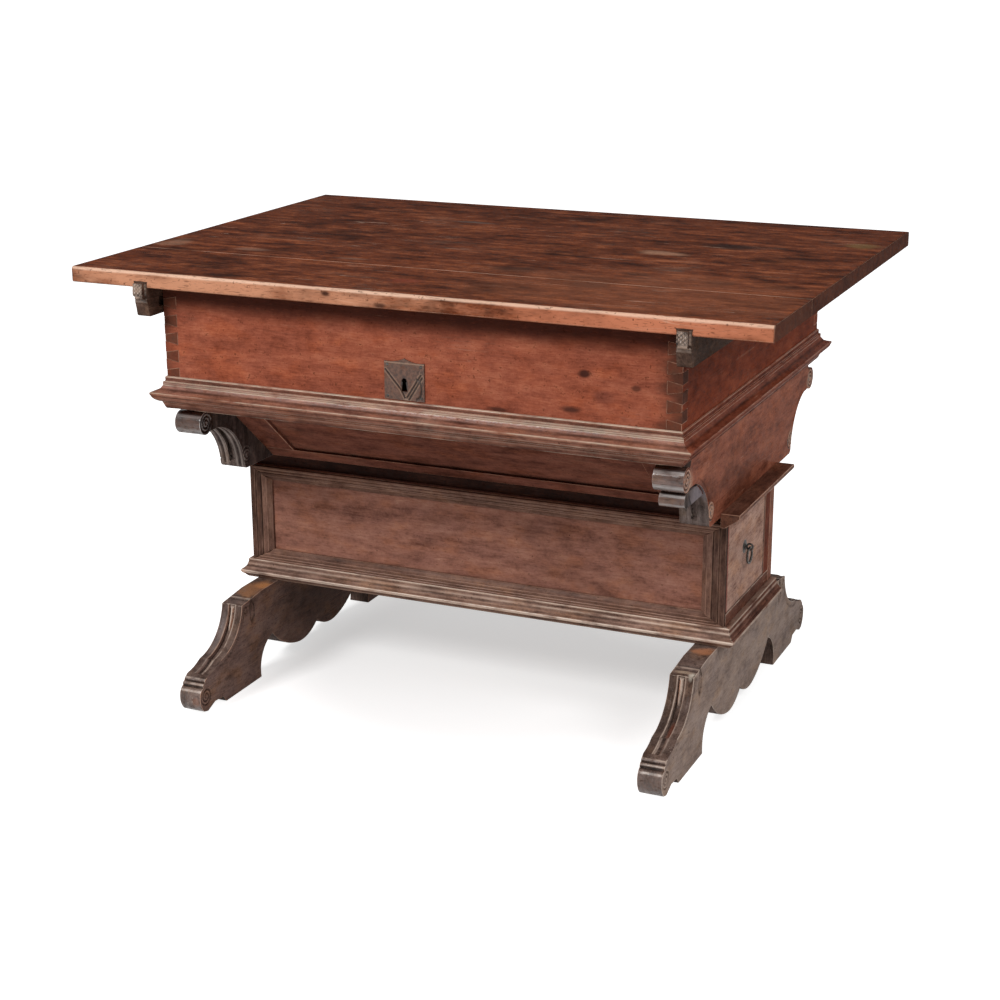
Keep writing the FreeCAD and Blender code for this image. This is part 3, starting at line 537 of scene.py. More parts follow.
    def pattern(self, bench: NodeBench, kind: Pattern) -> Value:
        """Draw one pattern along the fibres.

        Args:
            bench: Where the nodes go.
            kind: The pattern.

        Returns:
            A value from 0 to 1.
        """
        vector = bench.mapped(self.stretched(kind.along, kind.across), self.shift())
        return bench.noise(vector, kind.detail, kind.rough, kind.bend)

    def tinted(self, bench: NodeBench, colour: bpy.types.NodeSocket) -> bpy.types.NodeSocket:
        """Let the hue drift from orange to a greyer red in soft patches.

        Args:
            bench: Where the nodes go.
            colour: Colour of the wood.

        Returns:
            The drifting colour.
        """
        vector = bench.mapped(self.stretched(DRIFT.along, DRIFT.across), self.shift()[::-1])
        drift = bench.noise(vector, DRIFT.detail, DRIFT.rough)
        colour = bench.mixed(drift.eased(*WARM_BAND) * self.hue, colour, WARM_DRIFT, "MULTIPLY")
        return bench.mixed(drift.eased(*COOL_BAND) * self.hue, colour, COOL_DRIFT, "MULTIPLY")

    def marked(
        self, bench: NodeBench, colour: bpy.types.NodeSocket, mark: Mark, mottle: Value
    ) -> bpy.types.NodeSocket:
        """Lay one mark over the wood.

        Args:
            bench: Where the nodes go.
            colour: Colour under the mark.
            mark: The mark.
            mottle: Noise that frays its rim.

        Returns:
            The colour with the mark.
        """
        scale = tuple(1 / reach for reach in mark.reach)
        shift = tuple(-place / reach for place, reach in zip(mark.middle, mark.reach))
        vector = bench.mapped(scale, shift)
        near = (bench.length(vector) + mottle * mark.fray - mark.fray / 2).eased(*MARK_RIM)
        return bench.mixed(near * mark.strength, colour, mark.colour)

    def scratches(self, bench: NodeBench, mottle: Value) -> Value:
        """Draw fine pale scratches, nearly along the grain.

        Args:
            bench: Where the nodes go.
            mottle: Noise that keeps them to patches.

        Returns:
            1 on a scratch, else 0.
        """
        repeats, turn = self.stretched(*SCRATCH_REPEATS), self.stretched(0.0, SCRATCH_TURN)
        vector = bench.mapped(repeats, (self.seed, 3, 8), turn)
        line = abs(bench.noise(vector, 1, 0.5) - 0.5).eased(*SCRATCH_WIDTH)
        return line * mottle.eased(*SCRATCH_BAND)

    def worm_holes(self, bench: NodeBench) -> Value:
        """Scatter small round beetle holes.

        Args:
            bench: Where the nodes go.

        Returns:
            1 in a hole, else 0.
        """
        distance, own = bench.cells(bench.mapped((WORM_CELLS,) * 3, (self.seed, 4, 1)))
        return distance.eased(*WORM_HOLE) * bench.part_of(own, 0).eased(*WORM_CHANCE)


HAMMER_MARKS = 190
IRON_GRIT = 1300
RUST_PATCHES = 90
RUST_LAYERS = (4, 0.6)
GRIT_LAYERS = (3, 0.6)
HAMMER_TONE, GRIT_TONE = 0.7, 0.3
DARK_STOP, RUBBED_STOP = 0.35, 0.7
RUST_BAND, BARE_BAND = (0.52, 0.68), (0.2, 0.5)
RUST_COVER, BARE_COVER = 0.75, 0.8
RUST_DULLS = 0.6
IRON_ROUGH, RUST_ROUGH, GRIT_ROUGH, BARE_SMOOTH = 0.5, 0.25, 0.12, 0.15
GRIT_RISE = 0.3
IRON_RELIEF = 0.35 * MM
IRON_BEND = 0.6


@dataclass(frozen=True)
class IronFinish:
    """Forged iron, darkened by oil and age, with rust in its hollows.

    Attributes:
        name: Name of the material.
        slot: Material slot of the record; not used.
        dark: Tone of the hollows.
        rubbed: Tone of the heights.
        rust: Tone of the rust.
        bare: Tone of rubbed lines and arrises.
        metal: How metallic it is.
    """

    name: str
    slot: str
    dark: Colour
    rubbed: Colour
    rust: Colour
    bare: Colour = srgb(176, 162, 150)
    metal: float = 0.85

    def material(self) -> bpy.types.Material:
        """Make the material, or give it again.

        Returns:
            The material.
        """
        known = bpy.data.materials.get(self.name)
        if known:
            return known
        made = bpy.data.materials.new(self.name)
        made.use_nodes = True
        bench = NodeBench(made.node_tree)
        hammered = bench.noise(bench.mapped((HAMMER_MARKS,) * 3), 3, 0.5)
        grit = bench.noise(bench.mapped((IRON_GRIT,) * 3), *GRIT_LAYERS)
        patch = bench.noise(bench.mapped((RUST_PATCHES,) * 3, (3, 1, 7)), *RUST_LAYERS)
        stops = [(DARK_STOP, self.dark), (RUBBED_STOP, self.rubbed)]
        colour = bench.ramp(hammered * HAMMER_TONE + grit * GRIT_TONE, stops)
        rusty = patch.eased(*RUST_BAND)
        colour = bench.mixed(rusty * RUST_COVER, colour, self.rust)
        bare = bench.attribute("wear") * patch.eased(*BARE_BAND)
        colour = bench.mixed(bare * BARE_COVER, colour, self.bare)
        # Dirt darkens the iron; on the key plate it is painted shade round the keyhole.
        colour = bench.mixed(bench.attribute("dirt_and_shade"), colour, darkened(self.dark))
        metal = self.metal - rusty * self.metal * RUST_DULLS
        gloss = IRON_ROUGH + rusty * RUST_ROUGH + grit * GRIT_ROUGH - bare * BARE_SMOOTH
        normal = bench.relief(hammered + grit * GRIT_RISE, IRON_RELIEF, IRON_BEND)
        bench.surface({"Base Color": colour, "Metallic": metal, "Roughness": gloss, "Normal": normal})
        return made


Finish = WoodFinish | IronFinish
CHIPS = ((38, 0.6), (120, 0.4))
DENT_REPEATS = 13
DENT_SHIFT = Vector((5, 3, 9))
DENT_START, DENT_GAIN = 0.25, 2.2
EVEN_BITE, CHIP_BITE = 0.35, 0.65
SWAY_REPEATS = 6


@dataclass(frozen=True)
class Wear:
    """How far the arrises of a piece are worn.

    Attributes:
        arris: Width of the rounded arris, metres.
        rows: Number of faces across it.
        step: Distance between cuts along the piece, metres; 0 for none.
        axis: Axis of those cuts.
        bite: Deepest nibble out of an arris, metres.
        sway: Slow unevenness of the whole surface, metres.
    """

    arris: float
    rows: int = 3
    step: float = 0.0
    axis: Grain = Grain.ACROSS_TABLE
    bite: float = 0.0
    sway: float = 0.0


def even_cuts(low: float, high: float, count: int) -> list[float]:
    """Share a length out evenly.

    Args:
        low: Its start.
        high: Its end.
        count: Number of shares.

    Returns:
        The places between the shares.
    """
    return [low + (high - low) * turn / count for turn in range(1, count)]


class Workpiece:
    """A mesh on the bench, until it is finished as a piece of the table."""

    sharp = math.radians(24)
    flat = math.radians(0.6)
    shaded_sharp = math.radians(38)
    weld = 0.004 * MM
    crumb = 0.02 * MM
    touch = 1e-6
    cut_width = 1e-7
    full_dirt = 2.2
    full_wear = 4.0

    def __init__(self) -> None:
        """Start from an empty mesh with its wear numbers."""
        self.mesh = bmesh.new()
        self.add_numbers()

    def add_numbers(self) -> None:
        """Add the numbers that finishes read: worn arrises and painted highlights, dirty hollows and painted
        shade, polished rounds.
        """
        layers = self.mesh.verts.layers.float
        for name in ("wear", "dirt_and_shade", "shine"):
            layers.get(name) or layers.new(name)
        self.wear = layers.get("wear")
        self.dirt_and_shade = layers.get("dirt_and_shade")
        self.shine = layers.get("shine")

    @classmethod
    def copied(cls, node: str) -> "Workpiece":
        """Start from a merged copy of a CAD node.

        Args:
            node: Name of the node.

        Returns:
            The workpiece.
        """
        made = cls()
        made.mesh.from_mesh(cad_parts[node].data)
        made.add_numbers()
        bmesh.ops.remove_doubles(made.mesh, verts=made.mesh.verts, dist=cls.weld)
        made.flatten()
        return made

    def flatten(self) -> None:
        """Join triangles that lie in one plane."""
        mesh = self.mesh
        bmesh.ops.dissolve_limit(mesh, angle_limit=self.flat, verts=mesh.verts, edges=mesh.edges)

    def everything(self) -> list:
        """List all corners, edges and faces."""
        return self.mesh.verts[:] + self.mesh.edges[:] + self.mesh.faces[:]

    def soften(self, wear: Wear, chosen: Callable[[bmesh.types.BMEdge], bool] | None = None) -> None:
        """Round the sharp edges, and note which are worn and which hold dirt.

        Args:
            wear: Size of the rounding.
            chosen: Says which edges; all of them if left out.
        """
        edges = [e for e in self.mesh.edges if e.is_manifold and e.calc_face_angle(0) > self.sharp]
        if chosen:
            edges = [e for e in edges if chosen(e)]
        if not edges:
            return
        made = bmesh.ops.bevel(
            self.mesh,
            geom=edges,
            offset=wear.arris,
            offset_type="OFFSET",
            segments=wear.rows,
            profile=0.5,
            affect="EDGES",
            clamp_overlap=True,
            loop_slide=True,
            material=-1,
        )
        fresh = set(made["faces"])
        for vert in made["verts"]:
            if all(face in fresh for face in vert.link_faces):
                turn = sum(e.calc_face_angle_signed(0) for e in vert.link_edges if e.is_manifold)
                vert[self.wear] = 1.0 if turn > 0 else 0.0
                vert[self.dirt_and_shade] = 1.0 if turn < 0 else 0.0

    def refine(self, low: tuple, high: tuple, steps: tuple) -> None:
        """Cut the faces inside a box into a fine net, ready for carving.

        Args:
            low: Lowest corner of the box, millimetres.
            high: Highest corner, millimetres.
            steps: Width of the net's cells on each axis, millimetres.
        """
        low, high = Vector(low) * MM, Vector(high) * MM
        for axis in range(3):
            self.slice(axis, [low[axis], high[axis]], self.everything())
        geometry = self.within(low, high)
        for axis in range(3):
            count = max(1, round((high[axis] - low[axis]) / (steps[axis] * MM)))
            geometry = self.slice(axis, even_cuts(low[axis], high[axis], count), geometry)

    def within(self, low: Vector, high: Vector) -> list:
        """Find the faces in a box, with their edges and corners.

        Args:
            low: Lowest corner.
            high: Highest corner.

        Returns:
            The geometry for a cut.
        """
        found = []
        for face in self.mesh.faces:
            middle = face.calc_center_median()
            if all(low[n] - self.touch < middle[n] < high[n] + self.touch for n in range(3)):
                found.append(face)
        edges = {edge for face in found for edge in face.edges}
        verts = {vert for face in found for vert in face.verts}
        return list(verts) + list(edges) + found

    def slice(self, axis: int, places: list[float], geometry: list) -> list:
        """Cut geometry square to an axis at some places.

        Args:
            axis: Number of the axis.
            places: Places on it.
            geometry: What is cut.

        Returns:
            The geometry with the cuts.
        """
        if not places:
            return geometry
        half = len(places) // 2
        direction = Vector((0, 0, 0))
        direction[axis] = 1.0
        made = bmesh.ops.bisect_plane(
            self.mesh,
            geom=geometry,
            dist=self.cut_width,
            plane_co=direction * places[half],
            plane_no=direction,
        )
        below, above = [], []
        for item in made["geom"]:
            if isinstance(item, bmesh.types.BMVert):
                continue
            if isinstance(item, bmesh.types.BMFace):
                level = item.calc_center_median()[axis]
            else:
                level = (item.verts[0].co[axis] + item.verts[1].co[axis]) / 2
            (below if level < places[half] else above).append(item)
        below = self.slice(axis, places[:half], below)
        return below + self.slice(axis, places[half + 1 :], above)

    def squeeze(self, shift_at: Callable[[Vector], Vector | None], fresh: bool = False) -> None:
        """Move places to new ones, before any fine carving.

        Args:
            shift_at: Gives the new place from an old one, both in millimetres, or nothing.
            fresh: Whether a moved place loses its old wear and dirt.
        """
        for vert in self.mesh.verts:
            place = shift_at(vert.co / MM)
            if not place:
                continue
            if fresh:
                vert[self.wear] = vert[self.dirt_and_shade] = 0.0
            vert.co = place * MM
        bmesh.ops.dissolve_degenerate(self.mesh, dist=self.crumb, edges=self.mesh.edges)

    def carve(self, depth_at: LevelAt, dirt: float = 1.0) -> None:
        """Cut into the wood, and let dirt gather in the cuts.

        Args:
            depth_at: Gives the depth in millimetres from a place in millimetres and its normal.
            dirt: Share of the usual dirt.
        """
        self.mesh.normal_update()
        moves = []
        for vert in self.mesh.verts:
            depth = depth_at(vert.co / MM, vert.normal)
            if depth:
                moves.append((vert, vert.normal.copy(), depth))
        for vert, normal, depth in moves:
            vert.co -= normal * depth * MM
            if depth > 0:
                vert[self.dirt_and_shade] = min(1.0, max(vert[self.dirt_and_shade], dirt * depth / self.full_dirt))
            else:
                vert[self.wear] = min(1.0, max(vert[self.wear], -depth / self.full_wear))

    def note(self, layer: bmesh.types.BMLayerItem, level_at: LevelAt) -> None:
        """Raise one of the mesh's numbers where a rule gives more.

        Args:
            layer: The number.
            level_at: Gives its level from a place in millimetres and its normal.
        """
        self.mesh.normal_update()
        for vert in self.mesh.verts:
            vert[layer] = max(vert[layer], level_at(vert.co / MM, vert.normal))

    def polish(self, level_at: LevelAt) -> None:
        """Say which places are rubbed to a shine."""
        self.note(self.shine, level_at)

    def darken(self, level_at: LevelAt) -> None:
        """Say where dirt and painted shade darken the piece, on top of what the hollows hold."""
        self.note(self.dirt_and_shade, level_at)

    def lighten(self, level_at: LevelAt) -> None:
        """Say which places are painted pale, by wear and by painted highlight, on top of the worn arrises."""
        self.note(self.wear, level_at)

    def share_out(self, number_of: Callable[[Vector, Vector], int]) -> None:
        """Share the faces out between a piece's finishes.

        Args:
            number_of: Gives the finish's number from a face's middle in millimetres and its normal.
        """
        self.mesh.normal_update()
        for face in self.mesh.faces:
            face.material_index = number_of(face.calc_center_median() / MM, face.normal)

    def section(self, axis: Grain, step: float) -> None:
        """Cut the mesh across at even steps, so that long arrises can waver.

        Args:
            axis: Axis to step along.
            step: Distance between cuts.
        """
        places = [vert.co[axis.value] for vert in self.mesh.verts]
        low, high = min(places), max(places)
        self.slice(axis.value, even_cuts(low, high, int((high - low) / step)), self.everything())

    def nibble(self, wear: Wear) -> None:
        """Wear the arrises down unevenly.

        Args:
            wear: Depth of the nibbles and of the slow unevenness.
        """
        self.mesh.normal_update()
        for vert in self.mesh.verts:
            chip = sum(noise.noise(vert.co * repeats) * share for repeats, share in CHIPS)
            dent = max(0.0, noise.noise(vert.co * DENT_REPEATS + DENT_SHIFT) - DENT_START) * DENT_GAIN
            depth = wear.bite * vert[self.wear] * (EVEN_BITE + CHIP_BITE * abs(chip) + dent)
            slow = wear.sway * abs(noise.noise(vert.co * SWAY_REPEATS))
            vert.co -= vert.normal * (depth + slow * vert[self.wear])

    def wear_down(self, wear: Wear) -> "Workpiece":
        """Soften, cut and nibble in turn.

        Args:
            wear: How far.

        Returns:
            The same workpiece.
        """
        self.soften(wear)
        if wear.step:
            self.section(wear.axis, wear.step)
        if wear.bite or wear.sway:
            self.nibble(wear)
        return self

    def finish(self, node: str, body: str, *finishes: Finish) -> bpy.types.Object:
        """Make the piece, tie it to its body and let it stand for its CAD node.

        Args:
            node: CAD node that it stands for.
            body: Body that it rides on.
            finishes: What it is finished with, in the order of the faces' numbers.

        Returns:
            The object.
        """
        name = node + "_worn"
        data = bpy.data.meshes.new(name)
        self.mesh.normal_update()
        self.mesh.to_mesh(data)
        self.mesh.free()
        data.shade_smooth()
        data.set_sharp_from_angle(angle=self.shaded_sharp)
        piece = bpy.data.objects.new(name, data)
        bpy.context.scene.collection.objects.link(piece)
        for finish in finishes:
            data.materials.append(finish.material())
        weighted = piece.modifiers.new("even_faces", "WEIGHTED_NORMAL")
        weighted.keep_sharp = True
        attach(piece, body)
        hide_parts(node)
        log.info("%s made, %d faces", name, len(data.polygons))
        return piece


def worn_piece(node: str, body: str, finish: Finish, wear: Wear) -> bpy.types.Object:
    """Replace a CAD node by a worn copy of itself.

    Args:
        node: Name of the node.
        body: Body that it rides on.
        finish: What it is finished with.
        wear: How far it is worn.

    Returns:
        The piece.
    """
    return Workpiece.copied(node).wear_down(wear).finish(node, body, finish)


def dressed_node(node: str, finish: Finish) -> None:
    """Give a CAD node that stays as it is its finish.

    Args:
        node: Name of the node.
        finish: What it is finished with.
    """
    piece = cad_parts[node]
    piece.data.materials.clear()
    piece.data.materials.append(finish.material())
    log.info("%s dressed", node)


def hump(offset: float, half: float) -> float:
    """Give a smooth rise that is 1 in the middle and 0 beyond its half width.

    Args:
        offset: Distance from the middle.
        half: Half width.

    Returns:
        The height, 0 to 1.
    """
    share = abs(offset) / half
    return 0.0 if share >= 1 else (1 - share * share) ** 1.5


EYE_SHARE = 0.42
GROOVE_SHARE = 0.36
RIDGE_SHARE = 0.27


@dataclass(frozen=True)
class Volute:
    """A spiral cut into the side of a scroll, seen from the end of the table, millimetres.

    Attributes:
        out: Its middle's distance from the table's middle line.
        up: Height of its middle.
        radius: Outer radius.
        pitch: Distance between turns.
        depth: Depth of the cut.
        hand: 1 or -1, the way that it winds.
    """

    out: float
    up: float
    radius: float
    pitch: float
    depth: float
    hand: int = 1

    def winding(self, out: float, up: float) -> tuple[float, float]:
        """Find a place on the spiral.

        Args:
            out: Distance from the table's middle line.
            up: Height.

        Returns:
            Its distance from the spiral's middle, and its share of the way from one turn to the next.
        """
        away = math.hypot(out - self.out, up - self.up)
        angle = math.atan2(up - self.up, (out - self.out) * self.hand) / math.tau
        return away, (away / self.pitch - angle) % 1.0

    def cut(self, out: float, up: float) -> float:
        """Give the depth of the cut at a place.

        Args:
            out: Distance from the table's middle line.
            up: Height.

        Returns:
            The depth.
        """
        away, turn = self.winding(out, up)
        if not self.pitch * EYE_SHARE <= away <= self.radius:
            return 0.0
        return self.depth * hump(turn - 0.5, GROOVE_SHARE) * min(1.0, (self.radius - away) / 2 + 0.3)

    def ridge(self, out: float, up: float) -> float:
        """Give the wear of the ridge between the turns.

        Args:
            out: Distance from the table's middle line.
            up: Height.

        Returns:
            The wear, 0 to 1.
        """
        away, turn = self.winding(out, up)
        return 0.0 if away > self.radius else hump(min(turn, 1 - turn), RIDGE_SHARE)


@dataclass(frozen=True)
class Hollow:
    """The round hollow that a scroll's front edge follows, seen from the end of the table, millimetres.

    Attributes:
        out: Distance of its middle from the table's middle line.
        up: Height of its middle.
        radius: Its radius.
    """

    out: float
    up: float
    radius: float

    @classmethod
    def through(cls, first: tuple, second: tuple, third: tuple) -> "Hollow":
        """Find the hollow through three points.

        Args:
            first: Distance out and height of one end.
            second: The same of a point between.
            third: The same of the other end.

        Returns:
            The hollow.
        """
        (ax, ay), (bx, by), (cx, cy) = first, second, third
        double = 2 * (ax * (by - cy) + bx * (cy - ay) + cx * (ay - by))
        a, b, c = ax * ax + ay * ay, bx * bx + by * by, cx * cx + cy * cy
        out = (a * (by - cy) + b * (cy - ay) + c * (ay - by)) / double
        up = (a * (cx - bx) + b * (ax - cx) + c * (bx - ax)) / double
        return cls(out, up, math.hypot(ax - out, ay - up))

    def depth_of(self, out: float, up: float) -> float:
        """Tell how far a place lies behind the hollow, inside the wood."""
        return math.hypot(out - self.out, up - self.up) - self.radius


def tones(deep: tuple, body: tuple, bright: tuple, worn: tuple = (206, 158, 132)) -> dict[str, Colour]:
    """Name the four tones of a finish.

    Args:
        deep: Darkest display colour, 0 to 255.
        body: The middle one.
        bright: The lightest one.
        worn: The one of rubbed arrises.

    Returns:
        The linear colours by name.
    """
    given = {"deep": deep, "body": body, "bright": bright, "worn": worn}
    return {name: srgb(*levels) for name, levels in given.items()}


def walnut(name: str, slot: str, grain: Grain, seed: float, **changes: object) -> WoodFinish:
    """Mix a walnut finish from the common tones.

    Args:
        name: Name of the finish.
        slot: Material slot of the record.
        grain: Axis of the fibres.
        seed: Place in the pattern.
        changes: Fields that differ from the common ones.

    Returns:
        The finish.
    """
    common = tones((116, 59, 43), (157, 86, 64), (186, 112, 84))
    return WoodFinish(name=name, slot=slot, grain=grain, seed=seed, **(common | changes))


def spot(
    x: float, y: float, z: float, reach: tuple, colour: tuple, strength: float, fray: float = 1.6
) -> Mark:
    """Place one mark in millimetres.

    Args:
        x: Distance to the right of the middle.
        y: Distance behind the middle.
        z: Height.
        reach: Half size on each axis.
        colour: Display colour, 0 to 255.
        strength: Share over the wood's own colour.
        fray: How ragged its rim is.

    Returns:
        The mark.
    """
    middle = (x * MM, y * MM, z * MM)
    return Mark(middle, tuple(size * MM for size in reach), srgb(*colour), strength, fray)


TOP_TONES = tones((58, 26, 16), (112, 57, 35), (162, 93, 59), (234, 194, 168))
GREY_TONES = tones((122, 102, 92), (162, 140, 128), (182, 160, 147), (205, 184, 168))
DARK_TONES = tones((42, 30, 25), (88, 67, 57), (124, 100, 87), (186, 160, 142))
EDGE_TONES = tones((54, 41, 36), (110, 89, 80), (143, 121, 110), (212, 190, 174))
SHADE_TONES = tones((34, 20, 17), (62, 37, 30), (88, 55, 45), (140, 100, 84))
TOP_MARKS_AND_HIGHLIGHT = (
    spot(255, 62, 784, (58, 26, 20), (176, 134, 108), 0.65),
    spot(345, 164, 784, (62, 32, 20), (44, 28, 24), 0.8, 1.2),
    spot(244, -250, 784, (56, 30, 20), (46, 29, 24), 0.75, 1.2),
    spot(87, -173, 784, (58, 34, 20), (46, 29, 24), 0.75, 1.2),
    spot(287, -141, 784, (44, 26, 20), (48, 31, 25), 0.7, 1.2),
    spot(437, -163, 784, (40, 26, 20), (46, 30, 24), 0.7, 1.2),
    spot(-163, 234, 784, (70, 14, 20), (126, 108, 98), 0.5),
    spot(561, 254, 784, (36, 40, 20), (142, 112, 66), 0.45),
    spot(-38, -330, 784, (44, 30, 20), (138, 66, 48), 0.6),
    spot(-403, -178, 784, (46, 18, 20), (158, 118, 98), 0.5),
    spot(-199, -190, 784, (40, 14, 20), (152, 112, 92), 0.5),
    spot(-569, -162, 784, (34, 50, 20), (160, 122, 100), 0.5),
    spot(350, -280, 784, (420, 240, 60), (146, 88, 62), 0.4),
    spot(0, -227, 784, (4000, 2.0, 30), (170, 124, 98), 0.45, 3.2),
    spot(-330, -438, 771, (560, 13, 40), (216, 153, 119), 0.85),
    spot(420, -438, 771, (420, 13, 40), (208, 130, 97), 0.9),
    # Pale upper arris of the top's front edge: worn, with a painted highlight along its whole length.
    spot(0, -433, 783, (4000, 5, 5), (236, 196, 170), 0.75, 1.0),
    spot(-124, -434, 775, (12, 8, 7), (58, 34, 28), 0.9),
    spot(-28, -434, 763, (16, 8, 6), (70, 44, 36), 0.85),
)
FRONT_MARKS_AND_SHADE = (
    spot(295, -392, 676, (12, 12, 8), (56, 32, 28), 0.9),
    spot(152, -392, 606, (26, 12, 6), (48, 30, 26), 0.8, 2.2),
    spot(273, -392, 618, (22, 12, 7), (52, 34, 30), 0.75, 2.2),
    spot(325, -392, 643, (22, 12, 11), (88, 50, 46), 0.4, 2.2),
    spot(379, -392, 661, (10, 12, 7), (58, 34, 30), 0.7),
    # Painted shadow of the top's overhang: a dark band across the top of the box front.
    spot(0, -392, 752, (4000, 40, 50), (60, 29, 23), 0.85, 0.5),
    spot(464, -392, 640, (62, 48, 4000), (66, 45, 37), 0.85),
    spot(-468, -392, 660, (44, 48, 4000), (84, 48, 38), 0.65),
    # Painted shade inside the keyhole: the wood behind the key plate is black where the hole shows it.
    spot(-8.5, -375, 630, (30, 60, 36), (9, 6, 5), 1.0),
)
FRONT_FACE = walnut("red_walnut_front", "case_walnut", Grain.ACROSS_TABLE, 2.0, scratch=0.15, stain=0.2)
LOCK_FACE = walnut(
    "red_walnut_lock_side",
    "case_walnut",
    Grain.ACROSS_TABLE,
    2.6,
    scratch=0.12,
    stain=0.12,
    figure_width=34 * MM,
    marks=FRONT_MARKS_AND_SHADE,
)
SIDE_FACE = walnut(
    "red_walnut_side",
    "case_walnut",
    Grain.FRONT_TO_BACK,
    5.0,
    end_beyond=391 * MM,
    end_tone=srgb(86, 60, 49),
    stain=0.4,
    **tones((88, 38, 24), (135, 65, 43), (162, 88, 60)),
)
# The crown's worn tone is also the colour of its painted bead highlight.
CROWN_TONES = tones((88, 54, 44), (142, 94, 77), (174, 122, 101), (240, 221, 196))
MOULDED = walnut("rubbed_walnut_front", "case_walnut", Grain.ACROSS_TABLE, 8.0, rubbing=0.6, **CROWN_TONES)
MOULDED_SIDE = walnut(
    "rubbed_walnut_side",
    "case_walnut",
    Grain.FRONT_TO_BACK,
    11.0,
    rubbing=0.6,
    **tones((88, 42, 30), (134, 72, 53), (160, 94, 70)),
)
BASE_TONES = tones((86, 62, 52), (158, 124, 108), (190, 156, 137), (236, 214, 196))
BROKEN_END = (
    spot(-472, -158, 172, (16, 14, 12), (196, 130, 78), 0.85),
    spot(-250, -172, 166, (95, 30, 5), (190, 118, 70), 0.7, 2.2),
)
RAW_TOPS = (
    spot(-418, -206, 166, (32, 62, 12), (168, 118, 82), 0.75, 2.2),
    spot(-404, -178, 166, (24, 22, 9), (200, 138, 88), 0.75, 2.2),
    spot(426, -174, 166, (36, 20, 10), (182, 122, 86), 0.75, 2.2),
    spot(-437, -300, 112, (8, 72, 60), (134, 124, 123), 0.5, 0.6),
    spot(-411, -421, 26, (9, 10, 12), (140, 90, 64), 0.5, 2.2),
    spot(438, -262, 155, (8, 12, 11), (212, 200, 184), 0.8),
    spot(420, -257, 161, (26, 7, 7), (184, 160, 138), 0.65),
    spot(424, -325, 84, (6, 30, 16), (112, 58, 40), 0.7),
)
DRAWER_EDGES = (
    spot(452, -130, 300, (20, 4, 4000), (150, 72, 64), 0.65),
    spot(452, 85, 300, (20, 7, 4000), (58, 36, 30), 0.75),
    spot(452, -20, 222, (20, 4000, 4), (66, 42, 36), 0.7),
)
BASE_FRONT = walnut(
    "dusty_walnut_front", "case_walnut", Grain.ACROSS_TABLE, 9.0, stain=0.4, marks=BROKEN_END, **BASE_TONES
)
BASE_SIDE = walnut(
    "dusty_walnut_side",
    "case_walnut",
    Grain.FRONT_TO_BACK,
    12.0,
    stain=0.4,
    rubbing=0.6,
    **tones((72, 44, 36), (118, 78, 65), (150, 108, 92), (218, 194, 174)),
)
PANEL_TONES = tones((103, 66, 55), (151, 103, 87), (176, 127, 107))
PANEL = walnut("panel_walnut", "case_walnut", Grain.ACROSS_TABLE, 3.4, stain=0.3, **PANEL_TONES)
REED_TONES = tones((72, 50, 42), (122, 90, 77), (156, 122, 104))
REEDED = walnut("reeded_walnut", "case_walnut", Grain.ACROSS_TABLE, 6.0, stain=0.3, rubbing=0.3, **REED_TONES)
UPRIGHT = walnut(
    "reeded_walnut_upright", "case_walnut", Grain.UPRIGHT, 14.0, stain=0.35, rubbing=0.3, **REED_TONES
)
TROUGH_TONES = tones((76, 44, 36), (123, 75, 61), (152, 97, 79))
TROUGH = walnut("trough_walnut", "case_walnut", Grain.ACROSS_TABLE, 7.0, stain=0.4, **TROUGH_TONES)
STILE = walnut("trough_walnut_upright", "case_walnut", Grain.UPRIGHT, 7.6, stain=0.4, **TROUGH_TONES)
POST_TONES = tones((70, 36, 28), (118, 63, 48), (150, 88, 68))
POST = walnut("red_walnut_post", "case_walnut", Grain.UPRIGHT, 15.0, stain=0.5, **POST_TONES)
LEDGE_TONES = tones((70, 40, 32), (116, 76, 60), (146, 102, 82))
LEDGE = walnut(
    "dark_walnut_ledge", "case_walnut", Grain.FRONT_TO_BACK, 16.0, stain=0.45, wax=0.15, **LEDGE_TONES
)
WAIST = walnut("shaded_walnut", "case_walnut", Grain.ACROSS_TABLE, 4.4, stain=0.5, **SHADE_TONES)
TOP_FACE = walnut(
    "dark_walnut_top",
    "top_walnut",
    Grain.ACROSS_TABLE,
    17.0,
    stain=0.72,
    scratch=0.5,
    contrast=1.2,
    figure_width=19 * MM,
    figure_share=0.32,
    rubbing=1.0,
    end_beyond=598.5 * MM,
    marks=TOP_MARKS_AND_HIGHLIGHT,
    **TOP_TONES,
)
BATTEN = walnut("grey_walnut_batten", "carved_walnut", Grain.FRONT_TO_BACK, 20.0, rubbing=0.8, **DARK_TONES)
CARVED = walnut(
    "grey_walnut_carved", "carved_walnut", Grain.FRONT_TO_BACK, 23.0, stain=0.2, hue=0.4, **GREY_TONES
)
# Painted shade on the inner side of the left trestle, under the table.
SHADE_UNDER_TABLE = (spot(-402, 10, 110, (30, 200, 110), (46, 31, 26), 0.5, 0.8),)
CARVED_INNER = walnut(
    "brown_walnut_carved",
    "carved_walnut",
    Grain.FRONT_TO_BACK,
    22.0,
    hue=0.6,
    stain=0.25,
    contrast=0.75,
    marks=SHADE_UNDER_TABLE,
    **tones((68, 48, 41), (136, 108, 97), (166, 138, 125)),
)
REED_GREY = tones((50, 40, 37), (108, 92, 86), (144, 127, 119), (190, 174, 164))
